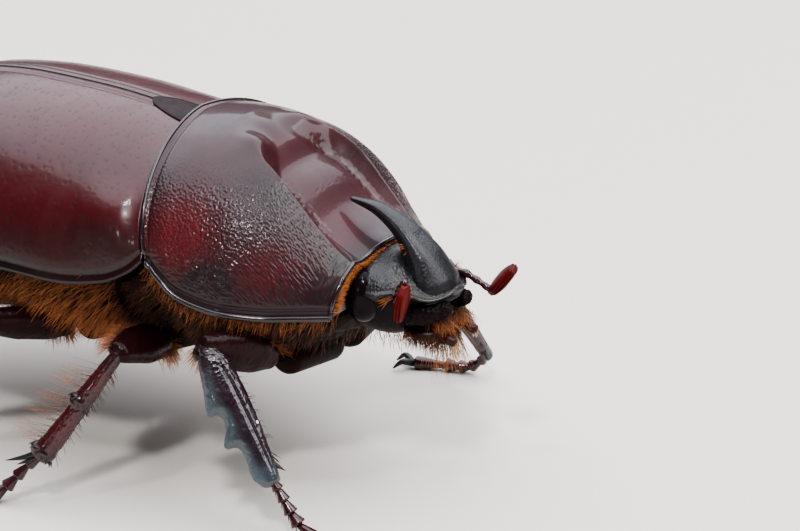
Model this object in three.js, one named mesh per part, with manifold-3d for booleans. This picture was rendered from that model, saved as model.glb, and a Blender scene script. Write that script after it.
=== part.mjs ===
// A rhinoceros beetle (Oryctes nasicornis, a male) at life size, standing on six feet.
// Millimetres, +Z up. The beetle faces -Y, and its right side is -X.
// Each body part is a closed solid in its own named mesh. Touching parts keep a thin gap.
import * as THREE from 'three';
import { mergeVertices } from 'three/addons/utils/BufferGeometryUtils.js';
import Module from 'manifold-3d';

const wasm = await Module();
wasm.setup();

// ---- Driving dimensions -------------------------------------------------------------------
const GAP = 0.12; // the clearance between neighbouring parts
const SHELL = 0.75; // thickness of a wing case
const SIDES = 7; // facets round a leg
const HALF_PI = Math.PI / 2;

// A track is a short list of [place, value] pairs that a smooth curve runs through.
// The pronotum: margin half width and margin height by the margin's y, crown height by the midline's y.
const PRONOTUM = {
  marginY: [-12.9, -3.6],
  crownY: [-13.3, -1.6],
  halfWidth: [[-12.9, 5.05], [-11.6, 6.1], [-10, 7.3], [-7.8, 8.15], [-5.2, 8.4], [-3.6, 8.15]],
  marginZ: [[-12.9, 10.4], [-8, 10.75], [-6.8, 10.95], [-5.6, 11.3], [-4.6, 12.0], [-3.6, 12.7]],
  crownZ: [[-13.3, 13.5], [-12.4, 14.3], [-11, 15.6], [-9.7, 16.9], [-8.6, 17.7], [-6.6, 18.4], [-4, 18.7],
    [-1.6, 18.6]],
  baseBow: 1.1, // how fast the rear edge swings forward towards the sides
};
// The hollow behind the horn: half width of its opening, and depth, by y.
const HOLLOW = {
  halfWidth: [[-13.3, 3.1], [-12, 3.4], [-10, 3.5], [-8, 3.15], [-6.6, 2.6], [-1.6, 2.2]],
  depth: [[-13.3, 0.35], [-12.2, 0.8], [-10, 1.4], [-8.2, 1.4], [-7.0, 0.75], [-5.8, 0.2], [-4.6, 0]],
  wall: 1.15, // width of the sloping wall inside the rim
  tubercles: [[-2.15, -6.55, 0.3], [0, -5.9, 0.2], [2.15, -6.55, 0.3]], // x, y, height
  tubercleReach: 0.85,
};
// The wing cases together: one dome, parted on the midline.
const ELYTRA = {
  marginY: [-3.3, 20.15],
  crownY: [-1.4, 20.3],
  halfWidth: [[-3.3, 8.05], [-2, 8.55], [0, 8.85], [3, 9.2], [7, 9.3], [11, 9.0], [14, 8.3],
              [16.5, 7.1], [18.3, 5.5],
    [19.5, 3.6], [20.15, 1.7]],
  marginZ: [[-3.3, 12.7], [-2.4, 11.9], [-1, 11.3], [1.5, 10.95], [6, 11.1], [10, 10.9],
            [14, 10.3], [18, 9.7],
    [20.15, 9.4]],
  crownZ: [[-1.4, 18.0], [1.5, 18.55], [5, 18.85], [9, 18.95], [12.4, 18.7], [15, 17.95],
           [17, 16.5], [18.5, 14.5],
    [19.6, 12.2], [20.3, 10.3]],
  baseBow: 1.1,
};
// The underside: lowest height by y.
const BELLY = {
  prosternum: { y: [-12.6, -3.1], inset: 0.8, low: [[-12.6, 8.7], [-11, 7.7], [-8.5, 7.0],
    [-5, 6.8], [-3.1, 7.2]] },
  mesosternum: { y: [-2.98, -1.32], halfWidth: 6.9, top: 11.9, low: 6.9 },
  metasternum: { y: [-1.2, 4.1], low: [[-1.2, 6.6], [1, 6.1], [4.1, 6.2]] },
  abdomen: { y: [4.22, 19.3], low: [[4.22, 6.2], [9, 6.0], [13, 6.4], [16, 7.1], [18.2, 8.2],
    [19.3, 9.0]] },
};
const SCUTELLUM = { halfWidth: 1.25, y: [-1.25, 1.5], z: [17.5, 18.3] };
const PYGIDIUM = { centre: [0, 18.35, 8.7], radii: [3.6, 1.75, 2.0], lean: -0.35 };
// The head: half width, crown height, throat height, and the height of its widest line, by y.
const HEAD = {
  y: [-12.3, -17.6],
  halfWidth: [[-12.3, 2.9], [-13.0, 3.15], [-13.8, 3.35], [-14.5, 3.3], [-15.2, 2.75],
              [-15.8, 2.25], [-16.5, 1.95],
    [-17.1, 1.4], [-17.5, 0.8], [-17.6, 0.6]],
  crownZ: [[-12.3, 12.4], [-13.5, 12.9], [-14.4, 12.85], [-15.4, 12.15], [-16.2, 11.6],
           [-17.0, 11.3], [-17.6, 11.35]],
  throatZ: [[-12.3, 8.4], [-14, 8.2], [-14.9, 8.6], [-15.7, 9.4], [-16.5, 10.2], [-17.1, 10.65],
            [-17.6, 10.95]],
  brimZ: [[-12.3, 11.0], [-14.2, 11.35], [-15.4, 11.45], [-16.3, 11.2], [-17.0, 11.0], [-17.6, 11.15]],
};
// The horn: centre line, half width and half depth along it.
const HORN = {
  path: [[0, -16.1, 11.3], [0, -15.55, 12.5], [0, -14.85, 13.55], [0, -13.75, 14.4], [0, -12.4, 14.95],
    [0, -11.0, 15.1]],
  halfWidth: [1.6, 1.25, 0.88, 0.58, 0.36, 0.13],
  halfDepth: [1.3, 1.0, 0.74, 0.52, 0.33, 0.12],
};
const EYE = { centre: [2.6, -13.4, 10.95], radii: [1.0, 1.05, 1.42] };
const MANDIBLE = { root: [1.4, -15.5, 10.0], tip: [0.9, -17.5, 10.45], rootRadius: 0.72, tipRadius: 0.42 };
const LABIUM = { centre: [0, -15.9, 8.75], radii: [1.5, 1.35, 0.6] };
const PALP = { root: [0.85, -16.75, 9.1], tip: [1.05, -17.95, 8.65], radius: 0.27 };
const ANTENNA = {
  left: { stalk: [[2.2, -15.75, 11.0], [1.95, -16.6, 11.35], [2.0, -17.3, 11.1], [2.05, -18.1, 10.7]],
    club: [[2.05, -18.35, 10.6], [2.0, -19.75, 12.1]] },
  right: { stalk: [[-2.3, -15.3, 10.9], [-2.95, -15.85, 11.9], [-3.3, -16.35, 12.6]],
    club: [[-3.4, -16.45, 12.3], [-3.6, -16.15, 10.45]] },
};
const STALK_RADIUS = 0.27;
const CLUB = { halfWidth: 0.72, halfDepth: 0.42 };

// Each leg from body to claw. wide is the direction of the shin's broad side, where its teeth grow.
const LEGS = {
  fore_right: {
    coxa: [[-1.0, -9.9, 7.1], [-4.3, -9.6, 7.2]],
    knee: [-9.1, -7.75, 9.35], shin: [-9.95, -12.35, 3.15], wide: [-0.66, 0.62, -0.41],
    foot: [[-9.95, -12.75, 2.65], [-9.95, -13.1, 2.1], [-9.95, -13.5, 1.5], [-9.95, -13.95, 0.95],
      [-9.95, -15.3, 0.33]],
    claw: [-9.9, -16.1, 0.2], digger: true,
  },
  fore_left: {
    coxa: [[1.0, -9.9, 7.1], [4.3, -9.6, 7.2]],
    knee: [9.2, -9.6, 8.5], shin: [12.95, -11.45, 1.6], wide: [0.75, 0.35, -0.3],
    foot: [[13.25, -10.9, 0.95], [13.3, -10.2, 0.45], [13.2, -9.5, 0.34], [13.0, -8.7, 0.34],
           [12.4, -6.9, 0.34]],
    claw: [12.0, -5.9, 0.2], digger: true,
  },
  mid_right: {
    coxa: [[-1.1, -2.3, 6.7], [-4.0, -1.9, 6.9]],
    knee: [-10.2, -3.15, 8.4], shin: [-12.9, 0.15, 2.85], wide: [-0.5, 0.7, 0.5],
    foot: [[-13.2, 0.95, 2.2], [-13.5, 1.5, 1.55], [-13.8, 2.0, 0.95], [-14.1, 2.6, 0.5],
           [-14.6, 4.1, 0.34]],
    claw: [-14.9, 5.1, 0.2], digger: false,
  },
  mid_left: {
    coxa: [[1.1, -2.3, 6.7], [4.0, -1.9, 6.9]],
    knee: [10.2, -2.6, 8.4], shin: [12.9, 1.0, 2.75], wide: [0.5, 0.7, 0.5],
    foot: [[13.2, 1.8, 2.1], [13.5, 2.35, 1.45], [13.8, 2.85, 0.85], [14.1, 3.45, 0.45],
           [14.5, 4.95, 0.34]],
    claw: [14.8, 5.9, 0.2], digger: false,
  },
  hind_right: {
    coxa: [[-1.2, 2.6, 6.4], [-4.6, 3.1, 6.7]],
    knee: [-9.6, 6.9, 7.9], shin: [-11.9, 12.8, 2.7], wide: [-0.75, 0.1, 0.6],
    foot: [[-12.1, 13.7, 1.9], [-12.2, 14.4, 1.25], [-12.3, 15.1, 0.75], [-12.4, 15.9, 0.42],
           [-12.6, 17.6, 0.34]],
    claw: [-12.7, 18.7, 0.2], digger: false,
  },
  hind_left: {
    coxa: [[1.2, 2.6, 6.4], [4.6, 3.1, 6.7]],
    knee: [9.7, 6.3, 7.9], shin: [12.1, 12.2, 2.7], wide: [0.75, 0.1, 0.6],
    foot: [[12.3, 13.1, 1.9], [12.5, 13.8, 1.25], [12.7, 14.5, 0.75], [12.9, 15.3, 0.42],
           [13.3, 16.9, 0.34]],
    claw: [13.5, 18.0, 0.2], digger: false,
  },
};
const COXA_RADIUS = 1.15;
const FEMUR = { halfWidth: [0.75, 1.2, 1.15, 0.62], halfDepth: [0.6, 0.78, 0.75, 0.55], rootPlace: 0.2 };
const TARSUS = { start: 0.27, end: 0.4, neck: 0.05, round: 0.14 };
const CLAW = { root: 0.27, tip: 0.14, splay: 0.6, arch: 0.25, rootPlace: 0.52 };
// A shin, from knee to foot: half width and half depth at even steps.
const SHIN = {
  digger: {
    halfWidth: [0.55, 0.9, 1.0, 0.95, 0.8, 0.6, 0.48],
    halfDepth: [0.5, 0.55, 0.52, 0.48, 0.44, 0.4, 0.34],
  },
  walker: {
    halfWidth: [0.38, 0.45, 0.56, 0.5, 0.56, 0.6, 0.66],
    halfDepth: [0.36, 0.42, 0.5, 0.48, 0.5, 0.52, 0.56],
  },
};
// Teeth on a digging shin: place along it, reach out from its axis, drop along it, root radius.
const DIGGER_TEETH = [[0.34, 1.42, 0.3, 0.75], [0.6, 1.38, 0.28, 0.6], [0.9, 0.6, 0.95, 0.5]];
const WALKER_TEETH = [[0.48, 0.8, 0.25, 0.3], [0.97, 0.85, 0.35, 0.3]];

// ---- Materials ----------------------------------------------------------------------------
const surface = (color, roughness) => new THREE.MeshStandardMaterial({ color, roughness, metalness: 0 });
const MAHOGANY = surface(0x4a1218, 0.3);
const PRONOTUM_RED = surface(0x42141c, 0.35);
const BLACK_HORN = surface(0x1d1c20, 0.4);
const BROWN_BELLY = surface(0x3a1a10, 0.6);
const LEG_RED = surface(0x2c1014, 0.3);
const CLUB_RED = surface(0x4a1016, 0.45);
const EYE_BLACK = surface(0x08080a, 0.1);

// ---- Curves and sections -------------------------------------------------------------------
const lerp = THREE.MathUtils.lerp;
const vec = (p) => new THREE.Vector3(...p);

// The value of a track at a place: a cubic through its pairs, level at local peaks.
function at(track, place) {
  const last = track.length - 1;
  const points = track[0][0] < track[last][0] ? track : [...track].reverse();
  if (place <= points[0][0]) return points[0][1];
  if (place >= points[last][0]) return points[last][1];
  let i = 0;
  while (points[i + 1][0] < place) i += 1;
  const slope = (j) => (points[j + 1][1] - points[j][1]) / (points[j + 1][0] - points[j][0]);
  const tangent = (j) => {
    if (j === 0) return slope(0);
    if (j === last) return slope(last - 1);
    const [before, after] = [slope(j - 1), slope(j)];
    return before * after <= 0 ? 0 : (2 * before * after) / (before + after);
  };
  const span = points[i + 1][0] - points[i][0];
  const t = (place - points[i][0]) / span;
  const [m0, m1] = [tangent(i) * span, tangent(i + 1) * span];
  const [t2, t3] = [t * t, t * t * t];
  return (2 * t3 - 3 * t2 + 1) * points[i][1] + (t3 - 2 * t2 + t) * m0
    + (3 * t2 - 2 * t3) * points[i + 1][1] + (t3 - t2) * m1;
}

// The value at t of numbers spaced evenly from 0 to 1.
const even = (values, t) => at(values.map((v, i) => [i / (values.length - 1), v]), t);

// A closed skin over rings that all have the same number of points, with a fan at each end.
function skin(rings) {
  const size = rings[0].length;
  const positions = [];
  const centre = (ring) => ring.reduce((sum, p) => sum.add(p), new THREE.Vector3()).divideScalar(size);
  for (const p of [...rings.flat(), centre(rings[0]), centre(rings.at(-1))]) positions.push(p.x, p.y, p.z);
  const index = [];
  for (let r = 0; r + 1 < rings.length; r += 1) {
    for (let k = 0; k < size; k += 1) {
      const [a, b] = [r * size + k, r * size + ((k + 1) % size)];
      index.push(a, b, a + size, b, b + size, a + size);
    }
  }
  const [head, tail, lastRing] = [rings.length * size, rings.length * size + 1, (rings.length - 1) * size];
  for (let k = 0; k < size; k += 1) {
    const next = (k + 1) % size;
    index.push(head, next, k, tail, lastRing + k, lastRing + next);
  }
  const geometry = new THREE.BufferGeometry();
  geometry.setAttribute('position', new THREE.Float32BufferAttribute(positions, 3));
  geometry.setIndex(index);
  return geometry;
}

// Six times the volume inside a geometry: negative when its faces point inwards.
function volumeSign(geometry) {
  const [p, index] = [geometry.attributes.position, geometry.index.array];
  const corner = (i) => new THREE.Vector3().fromBufferAttribute(p, index[i]);
  let sum = 0;
  for (let i = 0; i < index.length; i += 3) sum += corner(i).dot(corner(i + 1).cross(corner(i + 2)));
  return sum;
}

function solid(geometry) {
  const bare = geometry.clone();
  bare.deleteAttribute('normal');
  bare.deleteAttribute('uv');
  const merged = mergeVertices(bare, 1e-5);
  if (volumeSign(merged) < 0) merged.index.array.reverse();
  return new wasm.Manifold(new wasm.Mesh({
    numProp: 3,
    vertProperties: Float32Array.from(merged.attributes.position.array),
    triVerts: Uint32Array.from(merged.index.array),
  }));
}

function geometryOf(shape) {
  const mesh = shape.getMesh();
  const geometry = new THREE.BufferGeometry();
  geometry.setAttribute('position', new THREE.Float32BufferAttribute(mesh.vertProperties, 3));
  geometry.setIndex([...mesh.triVerts]);
  return geometry;
}

const join = (shapes) => shapes.reduce((whole, next) => whole.add(next));
const cut = (shape, ...tools) => tools.reduce((rest, tool) => rest.subtract(tool), shape);

function ellipsoid(centre, radii, turnX = 0, across = 9, down = 6) {
  const geometry = new THREE.SphereGeometry(1, across, down);
  geometry.scale(...radii);
  geometry.rotateX(turnX);
  geometry.translate(...centre);
  return solid(geometry);
}

// A limb: elliptical rings along a path, with rounded ends. wide points along the ring's broad axis.
function limb(path, halfWidths, halfDepths, wide, { sides = SIDES, steps = 6, grow = 0 } = {}) {
  const curve = new THREE.CatmullRomCurve3(path.map(vec), false, 'centripetal');
  const rings = [];
  const ring = (t, shrink, push) => {
    const along = curve.getTangentAt(t);
    const broad = vec(wide).projectOnPlane(along).normalize();
    const thin = along.clone().cross(broad);
    const [w, d] = [(even(halfWidths, t) + grow) * shrink, (even(halfDepths, t) + grow) * shrink];
    const middle = curve.getPointAt(t).addScaledVector(along, push * (even(halfDepths, t) + grow));
    return Array.from({ length: sides }, (_, k) => {
      const angle = (2 * Math.PI * (k + 0.5)) / sides;
      return middle.clone().addScaledVector(broad, w * Math.cos(angle))
        .addScaledVector(thin, d * Math.sin(angle));
    });
  };
  rings.push(ring(0, 0.55, -0.62));
  for (let i = 0; i <= steps; i += 1) rings.push(ring(i / steps, 1, 0));
  rings.push(ring(1, 0.55, 0.62));
  return solid(skin(rings));
}

const tube = (path, r0, r1, options) => limb(path, [r0, r1], [r0, r1], [0.13, 0.21, 0.97], options);

// ---- Domes of the back -----------------------------------------------------------------------
// One arched station of a dome: s runs from front to rear, angle from -90 (right margin) to 90 degrees.
function domePoint(dome, s, angle, inset = 0) {
  const [marginY, crownY] = [lerp(...dome.marginY, s), lerp(...dome.crownY, s)];
  const swing = Math.pow(Math.abs(angle) / HALF_PI, dome.baseBow);
  const [halfWidth, marginZ] = [at(dome.halfWidth, marginY), at(dome.marginZ, marginY)];
  const rise = at(dome.crownZ, crownY) - marginZ;
  return new THREE.Vector3(
    Math.max(halfWidth - inset, 0.05) * Math.sin(angle),
    lerp(crownY, marginY, swing),
    marginZ + Math.max(rise - inset, 0.05) * Math.cos(angle),
  );
}

function hollowDepth(x, y) {
  const inside = at(HOLLOW.halfWidth, y) - Math.abs(x);
  const sunk = THREE.MathUtils.clamp(inside / HOLLOW.wall, 0, 1);
  let depth = at(HOLLOW.depth, y) * (1 - (1 - sunk) ** 2);
  for (const [tx, ty, height] of HOLLOW.tubercles) {
    depth -= height * Math.exp(-((x - tx) ** 2 + (y - ty) ** 2) / HOLLOW.tubercleReach ** 2);
  }
  return depth;
}

// The angles of one station, with a column on each rim of the hollow so that the rims stay crisp.
function pronotumAngles(s, flank, bed) {
  const y = lerp(...PRONOTUM.crownY, s);
  const rim = Math.asin(at(HOLLOW.halfWidth, y) / at(PRONOTUM.halfWidth, lerp(...PRONOTUM.marginY, s)));
  const side = Array.from({ length: flank }, (_, k) => lerp(HALF_PI, rim, k / flank));
  const floor = Array.from({ length: bed + 1 }, (_, k) => rim * Math.sign(1 - (2 * k) / bed)
    * Math.abs(1 - (2 * k) / bed) ** 0.8);
  return [...side, ...floor, ...side.map((angle) => -angle).reverse()].reverse();
}

function pronotumSolid(flank = 6, bed = 8, along = 13) {
  const rings = Array.from({ length: along + 1 }, (_, i) => {
    const s = i / along;
    const arch = pronotumAngles(s, flank, bed).map((angle) => {
      const p = domePoint(PRONOTUM, s, angle);
      p.z -= hollowDepth(p.x, p.y);
      return p;
    });
    const edge = arch.at(-1);
    return [...arch, ...[0.5, -0.5].map((f) => edge.clone().setX(edge.x * f))];
  });
  return solid(skin(rings));
}

// A whole domed solid under the wing cases' surface, reduced by inset, used to part things from it.
function elytraDome(inset, across = 12, along = 11) {
  const arch = (s) => Array.from({ length: across + 1 }, (_, k) => (
    domePoint(ELYTRA, s, lerp(-HALF_PI, HALF_PI, k / across), inset)
  ));
  const rings = Array.from({ length: along + 1 }, (_, i) => arch(i / along));
  return solid(skin(rings));
}

function elytronSolid(side, grow = 0, across = 8, along = 11) {
  const rings = Array.from({ length: along + 1 }, (_, i) => {
    const arc = (inset, k) => {
      const p = domePoint(ELYTRA, i / along, side * (HALF_PI * k) / across, inset);
      if (k === 0) p.x = side * (GAP / 2 - grow);
      return p;
    };
    const count = Array.from({ length: across + 1 }, (_, k) => k);
    return [...count.map((k) => arc(-grow, k)), ...count.reverse().map((k) => arc(SHELL + grow, k))];
  });
  return solid(skin(rings));
}

// A body section below the back: an arch above the margin line, and the belly's curve below it.
function trunkSolid([y0, y1], section, along, across = 14) {
  const rings = Array.from({ length: along + 1 }, (_, i) => {
    const y = lerp(y0, y1, i / along);
    const { halfWidth, marginZ, topZ, lowZ } = section(y);
    return Array.from({ length: across }, (_, k) => {
      const angle = (2 * Math.PI * (k + 0.5)) / across;
      const rise = Math.sin(angle) > 0 ? topZ - marginZ : marginZ - lowZ;
      return new THREE.Vector3(halfWidth * Math.cos(angle), y, marginZ + rise * Math.sin(angle));
    });
  });
  return solid(skin(rings));
}

const underElytra = (y, low) => ({
  halfWidth: at(ELYTRA.halfWidth, y) - SHELL - GAP - 0.15,
  marginZ: at(ELYTRA.marginZ, y),
  topZ: at(ELYTRA.crownZ, y) - SHELL - GAP - 0.15,
  lowZ: at(low, y),
});

function prosternumSolid(grow = 0) {
  const { y, inset, low } = BELLY.prosternum;
  const shape = trunkSolid([y[0] - grow, y[1] + grow], (place) => ({
    halfWidth: at(PRONOTUM.halfWidth, place) - inset + grow,
    marginZ: at(PRONOTUM.marginZ, place) - 0.4,
    topZ: at(PRONOTUM.marginZ, place) - 0.39,
    lowZ: at(low, place) - grow,
  }), 5);
  return grow ? shape : cut(shape, pronotumSolid().translate([0, 0, -GAP]));
}

function mesosternumSolid(grow = 0) {
  const { y, halfWidth, top, low } = BELLY.mesosternum;
  return trunkSolid([y[0] - grow, y[1] + grow], () => ({
    halfWidth: halfWidth + grow, marginZ: 11.2, topZ: top, lowZ: low - grow,
  }), 2);
}

function metasternumSolid(grow = 0) {
  const { y, low } = BELLY.metasternum;
  return trunkSolid([y[0] - grow, y[1] + grow], (place) => {
    const section = underElytra(place, low);
    return { ...section, halfWidth: section.halfWidth + grow, lowZ: section.lowZ - grow };
  }, 4);
}

function abdomenSolid(grow = 0) {
  const { y, low } = BELLY.abdomen;
  return trunkSolid([y[0] - grow, y[1] + grow], (place) => {
    const section = underElytra(place, low);
    const width = Math.max(section.halfWidth, 0.8) + grow;
    return { ...section, halfWidth: width, topZ: section.topZ + grow, lowZ: section.lowZ - grow };
  }, 8, 16);
}

function scutellumShape(grow) {
  const { halfWidth, y, z } = SCUTELLUM;
  const outline = new THREE.Shape();
  outline.moveTo(-halfWidth - grow, y[0] - grow);
  outline.lineTo(halfWidth + grow, y[0] - grow);
  outline.quadraticCurveTo(halfWidth + grow, y[1] * 0.5, 0, y[1] + grow);
  outline.quadraticCurveTo(-halfWidth - grow, y[1] * 0.5, -halfWidth - grow, y[0] - grow);
  const plate = new THREE.ExtrudeGeometry(outline,
    { depth: z[1] - z[0], bevelEnabled: false, curveSegments: 5 });
  plate.translate(0, 0, z[0]);
  return solid(plate);
}

// ---- Head -------------------------------------------------------------------------------------
function headSolid(grow = 0) {
  const [steps, around] = [10, 14];
  const rings = Array.from({ length: steps + 1 }, (_, i) => {
    const y = lerp(HEAD.y[0] + grow, HEAD.y[1] - grow, i / steps);
    const [width, brim] = [at(HEAD.halfWidth, y) + grow, at(HEAD.brimZ, y)];
    const [crown, throat] = [at(HEAD.crownZ, y) + grow, at(HEAD.throatZ, y) - grow];
    return Array.from({ length: around }, (_, k) => {
      const angle = (2 * Math.PI * (k + 0.5)) / around;
      const [c, s] = [Math.cos(angle), Math.sin(angle)];
      const squeeze = s > 0 ? 1 : 1 - 0.22 * Math.pow(-s, 0.6);
      return new THREE.Vector3(width * c * squeeze, y, brim + (s > 0 ? crown - brim : brim - throat) * s);
    });
  });
  return solid(skin(rings));
}

function hornSolid() {
  const curve = new THREE.CatmullRomCurve3(HORN.path.map(vec), false, 'centripetal');
  const [steps, around] = [8, 10];
  const rings = Array.from({ length: steps + 1 }, (_, i) => {
    const t = i / steps;
    const along = curve.getTangent(t);
    const front = new THREE.Vector3(0, -1, 0).projectOnPlane(along).normalize();
    const middle = curve.getPoint(t);
    return Array.from({ length: around }, (_, k) => {
      const angle = (2 * Math.PI * (k + 0.5)) / around;
      const [c, s] = [Math.cos(angle), Math.sin(angle)];
      const flat = s > 0 ? 0.7 : 1.2; // the front face is the flatter one
      return middle.clone()
        .add(new THREE.Vector3(even(HORN.halfWidth, t) * c, 0, 0))
        .addScaledVector(front, even(HORN.halfDepth, t) * flat * s);
    });
  });
  return solid(skin(rings));
}

const mirrored = (p, side) => [p[0] * side, p[1], p[2]];
const eyeSolid = (side, grow = 0) => ellipsoid(
  mirrored(EYE.centre, side), EYE.radii.map((r) => r + grow), 0, 12, 9,
);

function mandibleSolid(side, grow = 0) {
  const { root, tip, rootRadius, tipRadius } = MANDIBLE;
  const path = [root, [root[0] + 0.15, (root[1] + tip[1]) / 2, (root[2] + tip[2]) / 2 - 0.1], tip];
  return tube(path.map((p) => mirrored(p, side)), rootRadius, tipRadius, { steps: 3, grow });
}

const palpSolid = (side) => tube(
  [PALP.root, PALP.tip].map((p) => mirrored(p, side)), PALP.radius, PALP.radius * 0.95,
    { sides: 6, steps: 1 },
);
const stalkSolid = (antenna, grow = 0) => tube(
  antenna.stalk, STALK_RADIUS * 1.15, STALK_RADIUS, { sides: 6, steps: 3, grow },
);
const clubSolid = (antenna) => limb(
  antenna.club, [CLUB.halfWidth * 0.6, CLUB.halfWidth, CLUB.halfWidth * 0.7],
  [CLUB.halfDepth * 0.8, CLUB.halfDepth, CLUB.halfDepth * 0.85], [0.9, 0.2, 0.3], { steps: 3 },
);

// ---- Legs -------------------------------------------------------------------------------------
const coxaSolid = (leg, grow = 0) => limb(
  leg.coxa, [COXA_RADIUS, COXA_RADIUS * 0.85], [COXA_RADIUS * 0.9, COXA_RADIUS * 0.7], [0, 1, 0.1],
  { steps: 1, grow },
);

function femurSolid(leg, grow = 0) {
  const root = leg.coxa[1].map((v, i) => lerp(v, leg.knee[i], FEMUR.rootPlace));
  return limb([root, leg.knee], FEMUR.halfWidth, FEMUR.halfDepth, leg.wide, { steps: 4, grow });
}

function tooth(from, to, radius) {
  const options = { sides: 4, steps: 1 };
  return limb([from, to], [radius, radius * 0.3], [radius * 0.7, radius * 0.3], [0.3, 0.2, 0.9], options);
}

function shinSolid(leg, grow = 0) {
  const [knee, end] = [vec(leg.knee), vec(leg.shin)];
  const along = end.clone().sub(knee).normalize();
  const wide = vec(leg.wide).projectOnPlane(along).normalize();
  const start = knee.clone().addScaledVector(along, 0.25);
  const profile = leg.digger ? SHIN.digger : SHIN.walker;
  const body = limb([start.toArray(), leg.shin], profile.halfWidth, profile.halfDepth, leg.wide,
    { steps: 5, grow });
  const teeth = (leg.digger ? DIGGER_TEETH : WALKER_TEETH).map(([place, reach, drop, radius]) => {
    const root = start.clone().lerp(end, place);
    const tip = root.clone().addScaledVector(wide, reach).addScaledVector(along, drop);
    return tooth(root.addScaledVector(wide, 0.2).toArray(), tip.toArray(), radius + grow);
  });
  const spurTip = end.clone().addScaledVector(wide, -0.75).addScaledVector(along, 0.75);
  const spur = tooth(end.clone().addScaledVector(wide, -0.35).toArray(), spurTip.toArray(), 0.26 + grow);
  return join([body, ...teeth, spur]);
}

// Five beads from the shin to the last, longest one, which carries the claws. Each starts narrow
// and ends wide.
function tarsusSolid(leg, grow = 0, sides = 6) {
  const joints = [leg.shin, ...leg.foot].map(vec);
  const heading = (i) => joints[Math.min(i + 1, 5)].clone().sub(joints[Math.max(i - 1, 0)]).normalize();
  const ring = (i, push, radius) => {
    const along = heading(i);
    const up = new THREE.Vector3(0, 0, 1).projectOnPlane(along).normalize();
    const across = along.clone().cross(up);
    return Array.from({ length: sides }, (_, k) => {
      const angle = (2 * Math.PI * (k + 0.5)) / sides;
      return joints[i].clone().addScaledVector(along, push)
        .addScaledVector(up, radius * Math.sin(angle)).addScaledVector(across, radius * Math.cos(angle));
    });
  };
  const rings = [ring(0, -TARSUS.round - grow, TARSUS.start * 0.5 + grow)];
  for (let i = 0; i < 5; i += 1) {
    const size = lerp(TARSUS.start, TARSUS.end, i / 4);
    rings.push(ring(i, TARSUS.neck, size * 0.8 + grow), ring(i + 1, -TARSUS.neck, size * 1.12 + grow));
  }
  rings.push(ring(5, TARSUS.round + grow, TARSUS.end * 0.6 + grow));
  return solid(skin(rings));
}

// Two hooks in one curved piece, joined just past the end of the last bead.
function clawSolid(leg) {
  const [end, tip] = [vec(leg.foot.at(-1)), vec(leg.claw)];
  const along = tip.clone().sub(end).normalize();
  const across = along.clone().cross(new THREE.Vector3(0, 0, 1)).normalize();
  const root = end.clone().addScaledVector(along, CLAW.rootPlace);
  const place = (reach, side, lift) => root.clone().lerp(tip, reach)
    .addScaledVector(across, side * CLAW.splay).add(new THREE.Vector3(0, 0, lift)).toArray();
  const path = [place(1, -1, 0), place(0.55, -0.85, CLAW.arch), place(0, 0, 0.1),
                place(0.55, 0.85, CLAW.arch),
    place(1, 1, 0)];
  return limb(path, [CLAW.tip, CLAW.root, CLAW.tip], [CLAW.tip, CLAW.root, CLAW.tip], [0.05, 0.1, 1],
    { sides: 5, steps: 6 });
}

// Everything below the floor is trimmed off, which leaves a small flat under each foot.
const aboveFloor = (shape) => {
  const block = new THREE.BoxGeometry(60, 60, 60);
  block.translate(0, 0, -30);
  return cut(shape, solid(block));
};

// ---- Assembly ----------------------------------------------------------------------------------
const beetle = new THREE.Group();

function add(name, shape, material) {
  const mesh = new THREE.Mesh(geometryOf(shape), material);
  mesh.name = name;
  beetle.add(mesh);
}

const domeClear = elytraDome(-GAP);
const headClear = join([headSolid(GAP), eyeSolid(1, GAP), eyeSolid(-1, GAP)]);
add('pronotum', cut(pronotumSolid(), headClear), PRONOTUM_RED);
add('prosternum', cut(prosternumSolid(), headClear), BROWN_BELLY);
add('mesosternum', cut(mesosternumSolid(), pronotumSolid().translate([0, GAP, -GAP])), BROWN_BELLY);
add('metasternum', cut(metasternumSolid(), scutellumShape(GAP)), BROWN_BELLY);
add('abdomen', cut(abdomenSolid(), elytronSolid(1, GAP), elytronSolid(-1, GAP)), BROWN_BELLY);
add('pygidium', cut(
  ellipsoid(PYGIDIUM.centre, PYGIDIUM.radii, PYGIDIUM.lean, 10, 7), domeClear, abdomenSolid(GAP),
), MAHOGANY);
add('scutellum', scutellumShape(0), BLACK_HORN);
const sides = [['left', 1], ['right', -1]];
for (const [name, side] of sides) {
  add(`elytron_${name}`, cut(elytronSolid(side), scutellumShape(GAP)), MAHOGANY);
}

add('head', cut(headSolid(), ...sides.map(([, side]) => eyeSolid(side, GAP * 0.8))), BLACK_HORN);
add('horn', cut(hornSolid(), headClear), BLACK_HORN);
add('labium', cut(ellipsoid(LABIUM.centre, LABIUM.radii), headClear), BROWN_BELLY);
for (const [name, side] of sides) {
  const antenna = ANTENNA[name];
  const labiumClear = ellipsoid(LABIUM.centre, LABIUM.radii.map((r) => r + GAP));
  add(`eye_${name}`, eyeSolid(side), EYE_BLACK);
  add(`mandible_${name}`, cut(mandibleSolid(side), headClear, labiumClear), BLACK_HORN);
  add(`palp_${name}`, cut(palpSolid(side), mandibleSolid(side, GAP), labiumClear), LEG_RED);
  add(`antenna_${name}`, cut(stalkSolid(antenna), headClear, mandibleSolid(side, GAP)), LEG_RED);
  add(`antenna_club_${name}`, cut(clubSolid(antenna), stalkSolid(antenna, GAP)), CLUB_RED);
}

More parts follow.
